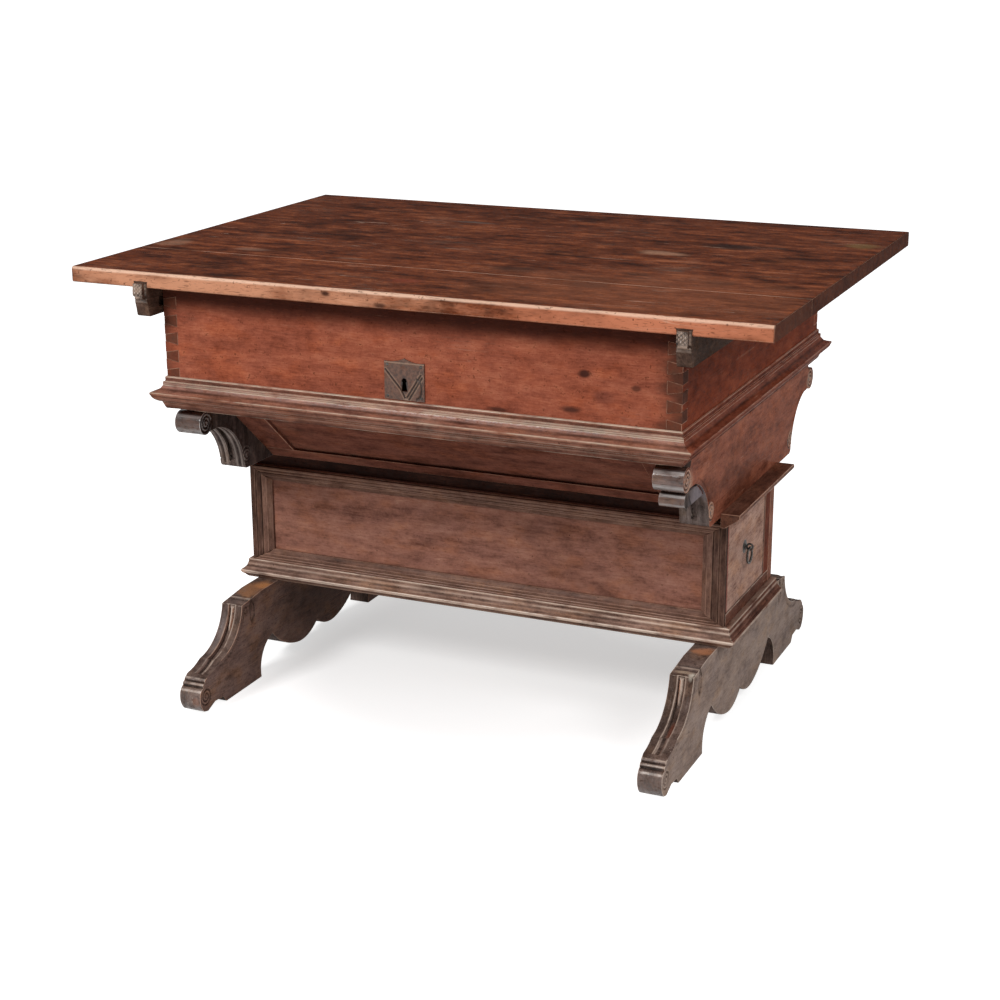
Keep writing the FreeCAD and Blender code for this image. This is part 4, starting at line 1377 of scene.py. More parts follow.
# The rolls' worn tone is also the colour of their painted highlights.
ROLL = walnut(
    "polished_walnut_roll",
    "carved_walnut",
    Grain.ACROSS_TABLE,
    28.0,
    gloss_rough=0.16,
    hue=0.7,
    **tones((38, 25, 21), (100, 76, 67), (140, 112, 101), (232, 226, 223)),
)
SHAFT_MARKS = (
    spot(448, -292, 464, (14, 58, 54), (146, 136, 142), 0.7, 0.5),
    spot(411, -272, 452, (11, 60, 48), (84, 76, 66), 0.6, 0.6),
    spot(441, -312, 499, (12, 10, 8), (158, 72, 42), 0.8, 0.8),
)
CONSOLE_FRONT = walnut(
    "grey_walnut_console",
    "carved_walnut",
    Grain.UPRIGHT,
    27.0,
    rubbing=0.6,
    marks=SHAFT_MARKS,
    **REED_GREY,
)
CARVED_UPRIGHT = walnut(
    "grey_walnut_reeds",
    "carved_walnut",
    Grain.UPRIGHT,
    24.0,
    stain=0.35,
    marks=RAW_TOPS,
    **EDGE_TONES,
)
SCROLL_MARKS = tuple(
    spot(side * 452, end * out, up, (14, reach, reach), (182, 150, 130), 0.7)
    for side in (-1, 1)
    for end in (-1, 1)
    for out, up, reach in ((352, 512, 26), (234, 432, 20))
)
CONSOLE_SIDE = walnut(
    "red_walnut_console",
    "carved_walnut",
    Grain.FRONT_TO_BACK,
    25.0,
    stain=0.55,
    scratch=0.4,
    marks=SCROLL_MARKS,
    **tones((98, 52, 38), (150, 88, 67), (178, 112, 86)),
)
PALE_DRAWER = walnut(
    "pale_walnut_drawer",
    "case_walnut",
    Grain.FRONT_TO_BACK,
    26.0,
    **tones((120, 86, 74), (186, 147, 130), (208, 172, 153)),
    stain=0.2,
    marks=DRAWER_EDGES,
)
INNER = WoodFinish(
    "aged_softwood",
    "inner_softwood",
    srgb(96, 66, 42),
    srgb(150, 110, 74),
    srgb(178, 140, 98),
    srgb(196, 164, 124),
    Grain.ACROSS_TABLE,
    29.0,
    0.6,
)
IRON = IronFinish("dark_forged_iron", "old_iron", srgb(34, 31, 30), srgb(104, 99, 94), srgb(82, 52, 38))
PLATE_IRON = IronFinish(
    "key_plate_iron",
    "old_iron",
    srgb(58, 40, 32),
    srgb(112, 78, 62),
    srgb(95, 59, 43),
    srgb(154, 125, 103),
    0.15,
)


# Share of a face's normal along an axis from which it counts as turned that way
FULLY, MOSTLY, PARTLY, HALFWAY = 0.8, 0.7, 0.6, 0.5
QUIRK_DEPTH = 0.7
LEVEL_FACE = 0.9
# Painted highlight: moulding ridges grow paler towards the right; share at the middle, and length over which
# it rises by one.
LEFT_HIGHLIGHT_SHARE = 0.7
HIGHLIGHT_RISE_LENGTH = 1500


def lined(piece: Workpiece, node: str, quirks: tuple, ridges: tuple, step: float) -> None:
    """Sharpen a moulding: cut its quirks in, fill them with dirt and paint its ridges pale, as wear with a
    painted highlight that brightens towards the right.

    Args:
        piece: The moulding.
        node: CAD node that it copies.
        quirks: Height, half width and strength of each quirk, millimetres.
        ridges: The same of each pale ridge, worn and with painted highlight.
        step: Height between cuts, millimetres.
    """
    low, high = (corner[2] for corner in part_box(node))
    cuts = even_cuts(low, high, int((high - low) / (step * MM)))
    piece.slice(Grain.UPRIGHT.value, cuts, piece.mesh.edges[:] + piece.mesh.faces[:])

    def level(place: Vector, lines: tuple) -> float:
        """Give the strength of the nearest line."""
        return max(strength * hump(place.z - height, half) for height, half, strength in lines)

    def quirk_depth(place: Vector, normal: Vector) -> float:
        """Cut the quirks, but not into level faces."""
        return QUIRK_DEPTH * level(place, quirks) if abs(normal.z) < LEVEL_FACE else 0.0

    piece.carve(quirk_depth)
    piece.darken(lambda place, normal: level(place, quirks))
    # Pale ridges: worn, with a painted highlight that brightens towards the right.
    piece.lighten(lambda place, normal: level(place, ridges) * (LEFT_HIGHLIGHT_SHARE + place.x / HIGHLIGHT_RISE_LENGTH))


@dataclass
class SlidingTop:
    """Two wide boards on two carved battens, all of which slide back together."""

    board: Wear = Wear(4.2 * MM, 4, 14 * MM, Grain.ACROSS_TABLE, 1.3 * MM, 0.5 * MM)
    joint: Wear = Wear(1.6 * MM, 3)
    joint_place: float = -228 * MM
    joint_rub: float = 0.25
    joint_reach: float = 0.3 * MM
    batten: Wear = Wear(1.6 * MM, 3, 16 * MM, Grain.FRONT_TO_BACK, 0.6 * MM)
    hatch_step: float = 6.5
    hatch_depth: float = 1.3
    head_rear: float = -434.5
    head_neck: float = 743
    bell_shoulder: float = 734
    knob_width: float = 0.72
    hatch_dirt: float = 2.6
    hatch_half: float = 1.7
    hatch_gap: float = 3
    head_net: tuple = (1.5, 1.5, 1.5)
    head_shine: float = 0.45
    head_front: float = 0.4
    knob_wear: float = 0.9
    bell_wear: float = 0.3
    lip_drop: float = 3
    lip_half: float = 2.5
    neck_half: float = 4
    neck_pinch: float = 0.12
    neck_back: float = 2.5
    knob_swell: float = 0.7
    batten_middle: float = 466

    def build(self) -> None:
        """Make the boards, the battens and the bolt's keeper."""
        for node in ("top_front_board", "top_rear_board"):
            piece = Workpiece.copied(node)
            piece.soften(self.joint, self.at_joint)
            for vert in piece.mesh.verts:
                vert[piece.wear] *= self.joint_rub
            piece.wear_down(self.board).finish(node, "top", TOP_FACE)
        for node in ("batten_left", "batten_right"):
            piece = Workpiece.copied(node).wear_down(self.batten)
            low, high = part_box(node)
            front = (high[0] / MM, self.head_rear, high[2] / MM)
            piece.refine(tuple(level / MM for level in low), front, self.head_net)
            piece.squeeze(self.waisted)
            piece.carve(self.hatch, self.hatch_dirt)
            piece.polish(lambda place, normal: self.head_shine if place.y < self.head_rear else 0.0)
            piece.lighten(self.bright_head)
            piece.finish(node, "top", BATTEN)
        dressed_node("keeper_plate", IRON)

    def at_joint(self, edge: bmesh.types.BMEdge) -> bool:
        """Tell the edges where the two boards meet."""
        return all(abs(vert.co.y - self.joint_place) < self.joint_reach for vert in edge.verts)

    def waisted(self, place: Vector) -> Vector | None:
        """Draw a batten's head in above the bell, so that a narrower knob stands on it.

        Args:
            place: Place on the batten.

        Returns:
            The new place, or nothing behind the head.
        """
        if place.y > self.head_rear or place.z < self.bell_shoulder:
            return None
        share = min(1.0, (place.z - self.bell_shoulder) / (self.head_neck - self.bell_shoulder))
        neck = hump(place.z - self.head_neck, self.neck_half)
        width = 1 - (1 - self.knob_width) * share**self.knob_swell - self.neck_pinch * neck
        middle = math.copysign(self.batten_middle, place.x)
        return Vector((middle + (place.x - middle) * width, place.y + self.neck_back * neck, place.z))

    def bright_head(self, place: Vector, normal: Vector) -> float:
        """Give the rubbed front of a batten's knob and the pale lip of its bell.

        Args:
            place: Place on the batten.
            normal: Its normal.

        Returns:
            The wear.
        """
        if place.y > self.head_rear or normal.y > -self.head_front:
            return 0.0
        if place.z > self.head_neck:
            return self.knob_wear
        lip = hump(place.z - self.head_neck + self.lip_drop, self.lip_half)
        return max(self.bell_wear, self.knob_wear * lip)

    def hatch(self, place: Vector, normal: Vector) -> float:
        """Cut crossed grooves into a batten's knob.

        Args:
            place: Place on the batten.
            normal: Its normal.

        Returns:
            The depth.
        """
        if place.y > self.head_rear or normal.y > -HALFWAY or place.z < self.head_neck + self.hatch_gap:
            return 0.0
        lines = (place.x + place.z, place.x - place.z)
        offsets = (line % self.hatch_step - self.hatch_step / 2 for line in lines)
        return self.hatch_depth * max(hump(offset, self.hatch_half) for offset in offsets)


@dataclass
class MoneyBox:
    """The upper box: dovetailed boards, crown moulding, lock and key plate."""

    board: Wear = Wear(1.2 * MM, 2)
    moulding: Wear = Wear(1.5 * MM, 3, 14 * MM, Grain.ACROSS_TABLE, 0.5 * MM)
    side_moulding: Wear = Wear(1.5 * MM, 3, 14 * MM, Grain.FRONT_TO_BACK, 0.5 * MM)
    plate: Wear = Wear(0.4 * MM, 2)
    bead: tuple = (584, 595)
    quirks: tuple = ((597, 2.0, 0.95), (581.5, 2.4, 0.9), (571, 1.8, 0.85), (562, 1.6, 0.6), (548, 8, 0.85))
    # Pale ridges of the crown: the one at 590.5 is the bead's painted highlight, the rest are worn ridges.
    ridges: tuple = (
        (601.5, 1.4, 0.55),
        (590.5, 1.9, 1.0),
        (576, 1.8, 0.6),
        (566, 1.5, 0.35),
        (556, 1.6, 0.3),
    )
    side_ridges: tuple = ((601.5, 1.4, 0.3), (590, 2.0, 0.12), (576, 1.6, 0.3), (553, 1.8, 0.75))
    bead_shine: float = 0.5
    side_shine: float = 0.08
    dull_shine: float = 0.05
    plate_net: tuple = (0.8, 0.8, 0.8)
    line_step: float = 1.4
    plate_front: float = -393.5
    plate_middle: float = -8.5
    chisel_lines: tuple = (
        ((-33, 653), (-6, 622)),
        ((-6, 622), (1, 609)),
        ((4, 609), (29, 648)),
        ((8, 607), (31, 644)),
    )
    chisel_width: float = 1.7
    chisel_depth: float = 2.0
    ridge_away: float = 2.7
    leaf_middle: tuple = (21, 624)
    leaf_reach: tuple = (9, 16)
    leaf_rim: float = 0.22
    leaf_cut: float = 2.0
    leaf_curl: Volute = Volute(28, 652, 5.5, 3.4, 0.9)
    rim_line: float = 665
    ridge_half: float = 1.3
    ridge_wear: float = 0.6
    rim_half: float = 1.6
    rim_wear: float = 0.9
    # Painted shade round the keyhole: its middle, reach and strength.
    hole_level: float = 630
    hole_reach: tuple = (8, 18)
    hole_shade: float = 1.8

    def build(self) -> None:
        """Make the boards and mouldings, then the iron."""
        worn_piece("box_front", "frame", LOCK_FACE, self.board)
        worn_piece("box_back", "frame", FRONT_FACE, self.board)
        for node in ("box_left_end", "box_right_end"):
            worn_piece(node, "frame", SIDE_FACE, self.board)
        for node in ("box_moulding_front", "box_moulding_back"):
            self.moulded(node, MOULDED, self.moulding, self.ridges, self.bead_shine)
        for node in ("box_moulding_left", "box_moulding_right"):
            self.moulded(node, MOULDED_SIDE, self.side_moulding, self.side_ridges, self.side_shine)
        for node in ("guide_rail_left", "guide_rail_right", "box_ledge_front", "box_ledge_back"):
            dressed_node(node, INNER)
        self.key_plate()
        for node in ("escutcheon_nails", "lock_case", "lock_bolt"):
            dressed_node(node, IRON)

    def moulded(self, node: str, finish: Finish, wear: Wear, ridges: tuple, shine: float) -> None:
        """Make one length of the crown moulding, with dirt in its quirks and a shining bead.

        Args:
            node: CAD node.
            finish: What it is finished with.
            wear: How far it is worn.
            ridges: Its pale ridges, worn and with painted highlight.
            shine: Gloss of its bead.
        """
        piece = Workpiece.copied(node).wear_down(wear)
        lined(piece, node, self.quirks, ridges, self.line_step)
        low, high = self.bead
        piece.polish(lambda place, normal: shine if low < place.z < high else self.dull_shine)
        piece.finish(node, "frame", finish)

    def key_plate(self) -> None:
        """Make the key plate with its chiselled lines and leaf."""
        piece = Workpiece.copied("escutcheon")
        piece.soften(self.plate)
        low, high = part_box("escutcheon")
        front = (high[0] / MM, self.plate_front, high[2] / MM)
        piece.refine((low[0] / MM, low[1] / MM - 1, low[2] / MM), front, self.plate_net)
        piece.carve(self.chisel)
        piece.lighten(self.plate_ridges)
        # Painted shade round the keyhole.
        piece.darken(self.keyhole_shade)
        piece.finish("escutcheon", "frame", PLATE_IRON)

    def chisel(self, place: Vector, normal: Vector) -> float:
        """Cut the plate's lines and model its leaf.

        Args:
            place: Place on the plate.
            normal: Its normal.

        Returns:
            The depth.
        """
        if normal.y > -MOSTLY:
            return 0.0
        point = Vector((place.x - self.plate_middle, place.z))
        lines = (hump(self.away(point, line), self.chisel_width) for line in self.chisel_lines)
        depth = self.chisel_depth * max(lines)
        across = (point.x - self.leaf_middle[0]) / self.leaf_reach[0]
        upward = (place.z - self.leaf_middle[1]) / self.leaf_reach[1]
        rim = math.hypot(across, upward)
        outline = self.leaf_cut * hump(rim - 1, self.leaf_rim) if across > 0 else 0.0
        return max(depth, outline, self.leaf_curl.cut(point.x, place.z))

    def plate_ridges(self, place: Vector, normal: Vector) -> float:
        """Give the bright ridges beside the plate's lines and along its upper rim.

        Args:
            place: Place on the plate.
            normal: Its normal; not used.

        Returns:
            The wear.
        """
        point = Vector((place.x - self.plate_middle, place.z))
        offsets = (self.away(point, line) - self.ridge_away for line in self.chisel_lines)
        level = max(hump(offset, self.ridge_half) for offset in offsets)
        return max(self.ridge_wear * level, self.rim_wear * hump(place.z - self.rim_line, self.rim_half))

    def keyhole_shade(self, place: Vector, normal: Vector) -> float:
        """Give painted shade round the keyhole, which makes the hole look larger.

        Args:
            place: Place on the plate.
            normal: Its normal; not used.

        Returns:
            The painted shade.
        """
        across, upward = self.hole_reach
        rim = math.hypot((place.x - self.plate_middle) / across, (place.z - self.hole_level) / upward)
        return min(1.0, self.hole_shade * hump(rim, 1))

    def away(self, point: Vector, line: tuple) -> float:
        """Measure the distance of a point from a line on the plate.

        Args:
            point: The point.
            line: Both ends of the line.

        Returns:
            The distance.
        """
        start, end = Vector(line[0]), Vector(line[1])
        along = end - start
        share = max(0.0, min(1.0, (point - start).dot(along) / along.length_squared))
        return (point - start - along * share).length


@dataclass
class Trough:
    """The canted boards under the box, with the carved consoles at both ends."""

    board: Wear = Wear(1.4 * MM, 3)
    carved: Wear = Wear(1.8 * MM, 3)
    inner_face: float = 402
    console_width: float = 50
    hollow: Hollow = Hollow.through((318, 500), (265.5, 470.5), (240, 414))
    roll_end: Volute = Volute(358, 517, 18.5, 6.6, 2.2)
    foot_end: Volute = Volute(232, 431, 17, 6.4, 2.0, -1)
    foot_rise: float = 2.0
    side_face: float = 446
    web_top: float = 497
    crests: tuple = (5, 15, 35, 45)
    reed_fall: float = 2.4
    margin: float = 8.5
    margin_depth: float = 1.6
    rolls: tuple = ((358, 517, 21), (346, 480, 13.5))
    lancet: tuple = (325, 468, 0.7)
    lancet_half: float = 5
    lancet_dirt: tuple = (0.2, 0.65)
    # Painted shade on the consoles' faces turned inwards.
    inner_shade: float = 0.7
    roll_top_dark: float = 0.6
    roll_top: float = 0.75
    roll_shine: float = 0.8
    dull_shine: float = 0.05
    # Painted highlights on the rolls: angle of the face, half width and strength.
    roll_highlights: tuple = ((44, 15, 1.0), (-32, 18, 0.5))
    left_roll_highlight: float = 0.45
    reed_wear: tuple = (0.7, 0.2)
    reed_half: float = 3
    shaft_zone: tuple = (208, 380, 404)
    shaft_net: tuple = (2.0, 3.4, 3.4)
    spiral_net: tuple = (60, 1.35, 1.35)
    spiral_margin: float = 2
    shaft_levels: tuple = (412, 505)
    shaft_out: float = 325
    web_reach: tuple = (240, 330)
    web_depth: float = -2
    worn_depth: float = 4
    cut_depth: float = 2.5
    margin_half: float = 2.2
    foot_half: float = 18
    right_reed: tuple = (40, 8, 0.4)
    left_reed: tuple = (10, 2.6)
    left_edge: tuple = (3, 1.6)

    def build(self) -> None:
        """Make the panel, its frame, the back board and the consoles."""
        for node in ("trough_bottom_rail", "trough_top_rail", "trough_panel", "trough_back_board"):
            worn_piece(node, "frame", TROUGH, self.board)
        for node in ("trough_left_stile", "trough_right_stile"):
            worn_piece(node, "frame", STILE, self.board)
        for node in ("console_left", "console_right"):
            self.console(node)

    def console(self, node: str) -> None:
        """Carve one console: reeds down its shafts, spirals on its sides.

        Args:
            node: CAD node.
        """
        piece = Workpiece.copied(node)
        piece.soften(self.carved)
        low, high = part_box(node)
        for sign in (-1, 1):
            near, far, foot = self.shaft_zone
            self.net(piece, low, high, (sign * near, sign * far, foot, high[2] / MM), self.shaft_net)
            for end in (self.roll_end, self.foot_end):
                reach = end.radius + self.spiral_margin
                zone = (sign * (end.out - reach), sign * (end.out + reach), end.up - reach, end.up + reach)
                self.net(piece, low, high, zone, self.spiral_net)
        piece.carve(self.cut)
        piece.polish(self.shine)
        piece.darken(self.darkening)
        piece.lighten(self.spiral)
        piece.share_out(self.number)
        piece.finish(node, "frame", CONSOLE_FRONT, CONSOLE_SIDE, ROLL)

    def number(self, place: Vector, normal: Vector) -> int:
        """Number the finishes: 0 for the front, 1 for the outer side, 2 for the rolls.

        Args:
            place: Middle of a face.
            normal: Its normal.

        Returns:
            The finish's number.
        """
        side_on = abs(normal.x) > MOSTLY
        web = side_on and self.on_web(place)
        if side_on and normal.x * place.x > 0 and abs(place.x) > self.side_face and not web:
            return 1
        return 2 if self.on_roll(place) and not web else 0

    def spiral(self, place: Vector, normal: Vector) -> float:
        """Give the pale ridges of the spirals on the sides and of the reeds on the front, and the painted
        highlights on the rolls.

        Args:
            place: Place on the console.
            normal: Its normal.

        Returns:
            The wear.
        """
        out, across = abs(place.y), abs(place.x) - self.inner_face
        if abs(normal.x) > MOSTLY:
            return max(end.ridge(out, place.z) for end in (self.roll_end, self.foot_end))
        right = place.x > 0
        # Painted highlight: the rolls are painted pale where their faces turn towards the light, less on the
        # left console.
        if self.on_roll(place):
            lift = math.degrees(math.atan2(normal.z, normal.y * math.copysign(1, place.y)))
            roll_highlight = max(level * hump(lift - angle, half) for angle, half, level in self.roll_highlights)
            return roll_highlight if right else self.left_roll_highlight * roll_highlight
        off_shaft = out > self.shaft_out or place.z > self.shaft_levels[1]
        if off_shaft or abs(self.hollow.depth_of(out, place.z)) > self.worn_depth:
            return 0.0
        return self.reed_wear[right] * max(hump(across - crest, self.reed_half) for crest in self.crests)

    def net(self, piece: Workpiece, low: Vector, high: Vector, zone: tuple, steps: tuple) -> None:
        """Lay a carving net over one zone of a console.

        Args:
            piece: The console.
            low: Its lowest corner.
            high: Its highest corner.
            zone: Nearest and farthest place front to back, lowest and highest level.
            steps: Width of the net's cells on each axis.
        """
        near, far = sorted(zone[:2])
        piece.refine((low[0] / MM, near, zone[2]), (high[0] / MM, far, zone[3]), steps)

    def darkening(self, place: Vector, normal: Vector) -> float:
        """Give the darkening: heavy painted shade on the faces turned inwards, and some darkening on the tops
        of the rolls.

        Args:
            place: Place on the console.
            normal: Its normal.

        Returns:
            The darkening.
        """
        side_on = abs(normal.x) > MOSTLY
        # Painted shade over the faces turned inwards.
        if side_on and normal.x * place.x < 0:
            return self.inner_shade
        if side_on and self.on_web(place):
            out, up, lean = self.lancet
            aside = abs(place.y) - out - (place.z - up) * lean
            return max(self.lancet_dirt[aside >= 0], hump(aside, self.lancet_half))
        on_top = self.on_roll(place) and abs(normal.x) < MOSTLY and normal.z > self.roll_top
        return self.roll_top_dark if on_top else 0.0

    def on_web(self, place: Vector) -> bool:
        """Tell whether a place is on the web in front of the shaft's hollow."""
        return place.z < self.web_top and self.hollow.depth_of(abs(place.y), place.z) < self.web_depth

    def on_roll(self, place: Vector) -> bool:
        """Tell whether a place is on the roll at the shaft's head."""
        return any(math.hypot(abs(place.y) - out, place.z - up) < reach for out, up, reach in self.rolls)

    def shine(self, place: Vector, normal: Vector) -> float:
        """Give the polish: the rolls shine, the rest is dull.

        Args:
            place: Place on the console.
            normal: Its normal.

        Returns:
            The shine.
        """
        return self.roll_shine if self.on_roll(place) and abs(normal.x) < HALFWAY else self.dull_shine

    def cut(self, place: Vector, normal: Vector) -> float:
        """Give the depth of the carving.

        Args:
            place: Place on the console.
            normal: Its normal.

        Returns:
            The depth.
        """
        out, across = abs(place.y), abs(place.x) - self.inner_face
        behind = self.hollow.depth_of(out, place.z)
        on_shaft = self.shaft_levels[0] < place.z < self.shaft_levels[1]
        if abs(normal.x) > FULLY:
            depth = max(self.roll_end.cut(out, place.z), self.foot_end.cut(out, place.z))
            away = math.hypot(out - self.foot_end.out, place.z - self.foot_end.up)
            depth -= self.foot_rise * hump(away, self.foot_half)
            if on_shaft and self.web_reach[0] < out < self.web_reach[1]:
                depth = max(depth, self.margin_depth * hump(behind - self.margin, self.margin_half))
            return depth
        if abs(normal.x) >= HALFWAY or abs(behind) >= self.cut_depth or not on_shaft or out >= self.shaft_out:
            return 0.0
        if place.x > 0:
            middle, half, share = self.right_reed
            return share * self.reed_fall * hump(across - middle, half)
        edge = min(across, self.console_width - across)
        (reed, reed_half), (arris, fall) = self.left_reed, self.left_edge
        return max(self.reed_fall * hump(edge - reed, reed_half), fall * hump(edge, arris))


@dataclass
class LowerBox:
    """The narrow box with the drawer: boards, applied frame strips and base moulding."""

    board: Wear = Wear(1.2 * MM, 3)
    strip: Wear = Wear(1.0 * MM, 3, 14 * MM, Grain.ACROSS_TABLE, 0.4 * MM)
    short_strip: Wear = Wear(1.0 * MM, 3, 12 * MM, Grain.UPRIGHT, 0.4 * MM)
    moulding: Wear = Wear(1.4 * MM, 3, 14 * MM, Grain.ACROSS_TABLE, 0.7 * MM)
    side_moulding: Wear = Wear(1.4 * MM, 3, 14 * MM, Grain.FRONT_TO_BACK, 0.7 * MM)
    quirks: tuple = ((195, 1.8, 0.8), (187, 2.2, 0.9), (182.5, 1.4, 0.7), (171, 2.2, 0.8))
    ridges: tuple = ((199, 1.6, 0.8), (191, 1.8, 0.75), (178, 2.4, 0.95), (167, 1.5, 0.45))
    line_step: float = 1.4
    corner: float = 428
    corner_dirt: float = 0.8

    def build(self) -> None:
        """Make the boards, strips and mouldings."""
        worn_piece("waist_board", "frame", WAIST, self.board)
        for node in ("lower_front_board", "lower_back_board"):
            worn_piece(node, "frame", PANEL, self.board)
        worn_piece("lower_left_end", "frame", SIDE_FACE, self.board)
        worn_piece("lower_end_rail", "frame", BASE_SIDE, self.board)
        worn_piece("lower_rear_post", "frame", POST, self.board)
        for node in ("waist_strip_left", "waist_strip_right"):
            worn_piece(node, "frame", LEDGE, self.side_moulding)
        for node in ("frame_strip_top", "frame_strip_bottom"):
            worn_piece(node, "frame", REEDED, self.strip)
        for node in ("frame_strip_left", "frame_strip_right"):
            piece = Workpiece.copied(node).wear_down(self.short_strip)
            piece.darken(lambda place, normal: self.corner_dirt if abs(place.x) > self.corner else 0.0)
            piece.finish(node, "frame", UPRIGHT)
        self.base_moulded("base_moulding_front", BASE_FRONT, self.moulding)
        for node in ("base_moulding_left", "base_moulding_right"):
            self.base_moulded(node, BASE_SIDE, self.side_moulding)
        for node in ("lower_bottom_board", "drawer_runner_front", "drawer_runner_rear", "drawer_guide"):
            dressed_node(node, INNER)

    def base_moulded(self, node: str, finish: Finish, wear: Wear) -> None:
        """Make one length of the base moulding with dirt in its quirks.

        Args:
            node: CAD node.
            finish: What it is finished with.
            wear: How far it is worn.
        """
        piece = Workpiece.copied(node).wear_down(wear)
        lined(piece, node, self.quirks, self.ridges, self.line_step)
        piece.finish(node, "frame", finish)


@dataclass
class Drawer:
    """The end drawer with its ring pull."""

    front: Wear = Wear(2.2 * MM, 3, 10 * MM, Grain.UPRIGHT, 0.7 * MM)
    iron: Wear = Wear(0.4 * MM, 2)

    def build(self) -> None:
        """Make the front, dress the inside and the iron."""
        worn_piece("drawer_front", "drawer", PALE_DRAWER, self.front)
        for node in ("drawer_side_front", "drawer_side_rear", "drawer_back", "drawer_bottom"):
            dressed_node(node, INNER)
        worn_piece("ring_plate", "drawer", IRON, self.iron)
        for node in ("ring_staple", "ring_pull"):
            dressed_node(node, IRON)


@dataclass
class Trestles:
    """The two carved end supports with their scrolled toes."""

    carved: Wear = Wear(2.0 * MM, 3)
    inner_face: float = 402
    width: float = 42
    hollow: Hollow = Hollow.through((270, 158), (296.5, 106.5), (350, 82))
    toe: Volute = Volute(400, 34, 17, 6.8, 2.4)
    shoulder_curl: Volute = Volute(258, 147, 9, 6.5, 1.8, -1)
    drop_middle: tuple = (236, 137)
    drop_reach: tuple = (7, 20)
    toe_axis: float = 390
    toe_level: float = 43
    toe_line: tuple = (
        (-30, 1.0),
        (0, 0.97),
        (13, 0.91),
        (21, 0.84),
        (27, 0.77),
        (33, 0.84),
        (40, 0.87),
        (47, 0.85),
        (52, 0.81),
        (58, 0.89),
        (66, 0.92),
        (73, 0.91),
        (80, 0.97),
        (90, 1.0),
    )
    toe_bands: tuple = ((52, 4), (27, 5))
    toe_crests: tuple = (10, 40, 65)
    # Painted shade on the inner strip of the right trestle's legs.
    strip_shade: float = 0.5
    tongue_rise: float = 6.6
    margin: float = 9.5
    margin_depth: float = 1.8
    shoulder_bands: tuple = (234, 248)
    shoulder_level: float = 148
    band_half: float = 2.8
    band_depth: float = 3.0
    lip_wear: tuple = (4, 0.7)
    ankle: tuple = (158, 82)
    leg_reach: tuple = (262, 398)
    leg_foot: float = 60
    instep_reach: tuple = (348, 396)
    instep_start: tuple = (350, 82)
    instep_fall: float = 0.29
    instep_hollow: tuple = (371, 25, 3.0)
    instep_groove: tuple = (350, 5, 3.0)
    sole_angle: float = -70
    toe_band_depth: float = 2.2
    toe_wear: tuple = (6, 0.7)
    toe_shine: tuple = (398, 0.8, 0.05)
    spiral_wear: float = 0.4
    tongue_behind: tuple = (3, 12)
    tongue_end: float = 352
    tongue_half: float = 6.0
    tongue_tip: float = 2.6
    tongue_taper: tuple = (0.35, 12)
    tongue_stop: tuple = (0.64, 14)
    groove_half: float = 6
    leg_strips: tuple = ((7, 6.5, 2.4), (35, 5.5, 1.6))
    hollow_dirt: float = 0.2
    fillets: tuple = ((14.3, 1.8, 0.9), (28.5, 1.6, 0.5))
    inner_strip: float = 13
    margin_reach: tuple = (266, 352)
    margin_half: float = 2.4
    drop_rim: tuple = (0.34, 2.8)
    drop_rib: tuple = (2.2, 1.6)
    nets: tuple = (
        (222, 421, 1, 165, (2.0, 3.4, 3.4)),
        (365, 421, 15, 72, (60, 1.8, 1.8)),
        (226, 270, 112, 162, (60, 1.9, 1.9)),
    )

    def build(self) -> None:
        """Carve both trestles."""
        for node in ("trestle_left", "trestle_right"):
            piece = Workpiece.copied(node)
            piece.soften(self.carved)
            low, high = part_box(node)
            for sign in (-1, 1):
                for nearest, farthest, lowest, highest, steps in self.nets:
                    near, far = sorted((sign * nearest, sign * farthest))
                    piece.refine((low[0] / MM, near, lowest), (high[0] / MM, far, highest), steps)
            piece.squeeze(self.planed, True)
            piece.squeeze(self.rolled)
            piece.carve(self.strips, self.hollow_dirt)
            piece.carve(self.cut)
            piece.lighten(self.crests)
            piece.darken(self.darkening)
            piece.polish(self.shine)
            piece.share_out(self.number)
            piece.finish(node, "frame", CARVED, CARVED_UPRIGHT, CARVED_INNER)

    def shine(self, place: Vector, normal: Vector) -> float:
        """Give the polish: the toes shine, the rest is dull.

        Args:
            place: Place on the trestle.
            normal: Its normal.

        Returns:
            The shine.
        """
        start, bright, dull = self.toe_shine
        return bright if abs(place.y) > start and abs(normal.x) < HALFWAY else dull

    def number(self, place: Vector, normal: Vector) -> int:
        """Number the finishes: 0 for the outer side, 1 for the edges, 2 for the inner side.

        Args:
            place: Middle of a face.
            normal: Its normal.

        Returns:
            The finish's number.
        """
        if abs(normal.x) < PARTLY:
            return 1
        return 0 if normal.x * place.x > 0 else 2

    def cut(self, place: Vector, normal: Vector) -> float:
        """Give the depth of the carving.

        Args:
            place: Place on the trestle.
            normal: Its normal.

        Returns:
            The depth.
        """
        out, across = abs(place.y), abs(place.x) - self.inner_face
        behind = self.hollow.depth_of(out, place.z)
        if abs(normal.x) > FULLY:
            return self.side_cut(out, place.z, behind)
        if abs(normal.x) > HALFWAY:
            return 0.0
        if normal.z > PARTLY and place.z > self.shoulder_level:
            return self.band_depth * max(hump(out - band, self.band_half) for band in self.shoulder_bands)
        angle = self.toe_angle(out, place.z)
        if out > self.toe_axis and angle > self.sole_angle:
            return self.toe_band_depth * max(hump(angle - band, half) for band, half in self.toe_bands)
        if not self.on_leg(out, place.z):
            return 0.0
        aside = across - self.width / 2
        if self.tongue_behind[0] < behind < self.tongue_behind[1] and out < self.tongue_end:
            return -self.tongue(aside, place.z)
        start, half, depth = self.instep_groove
        return depth * hump(aside, half) if out > start else 0.0

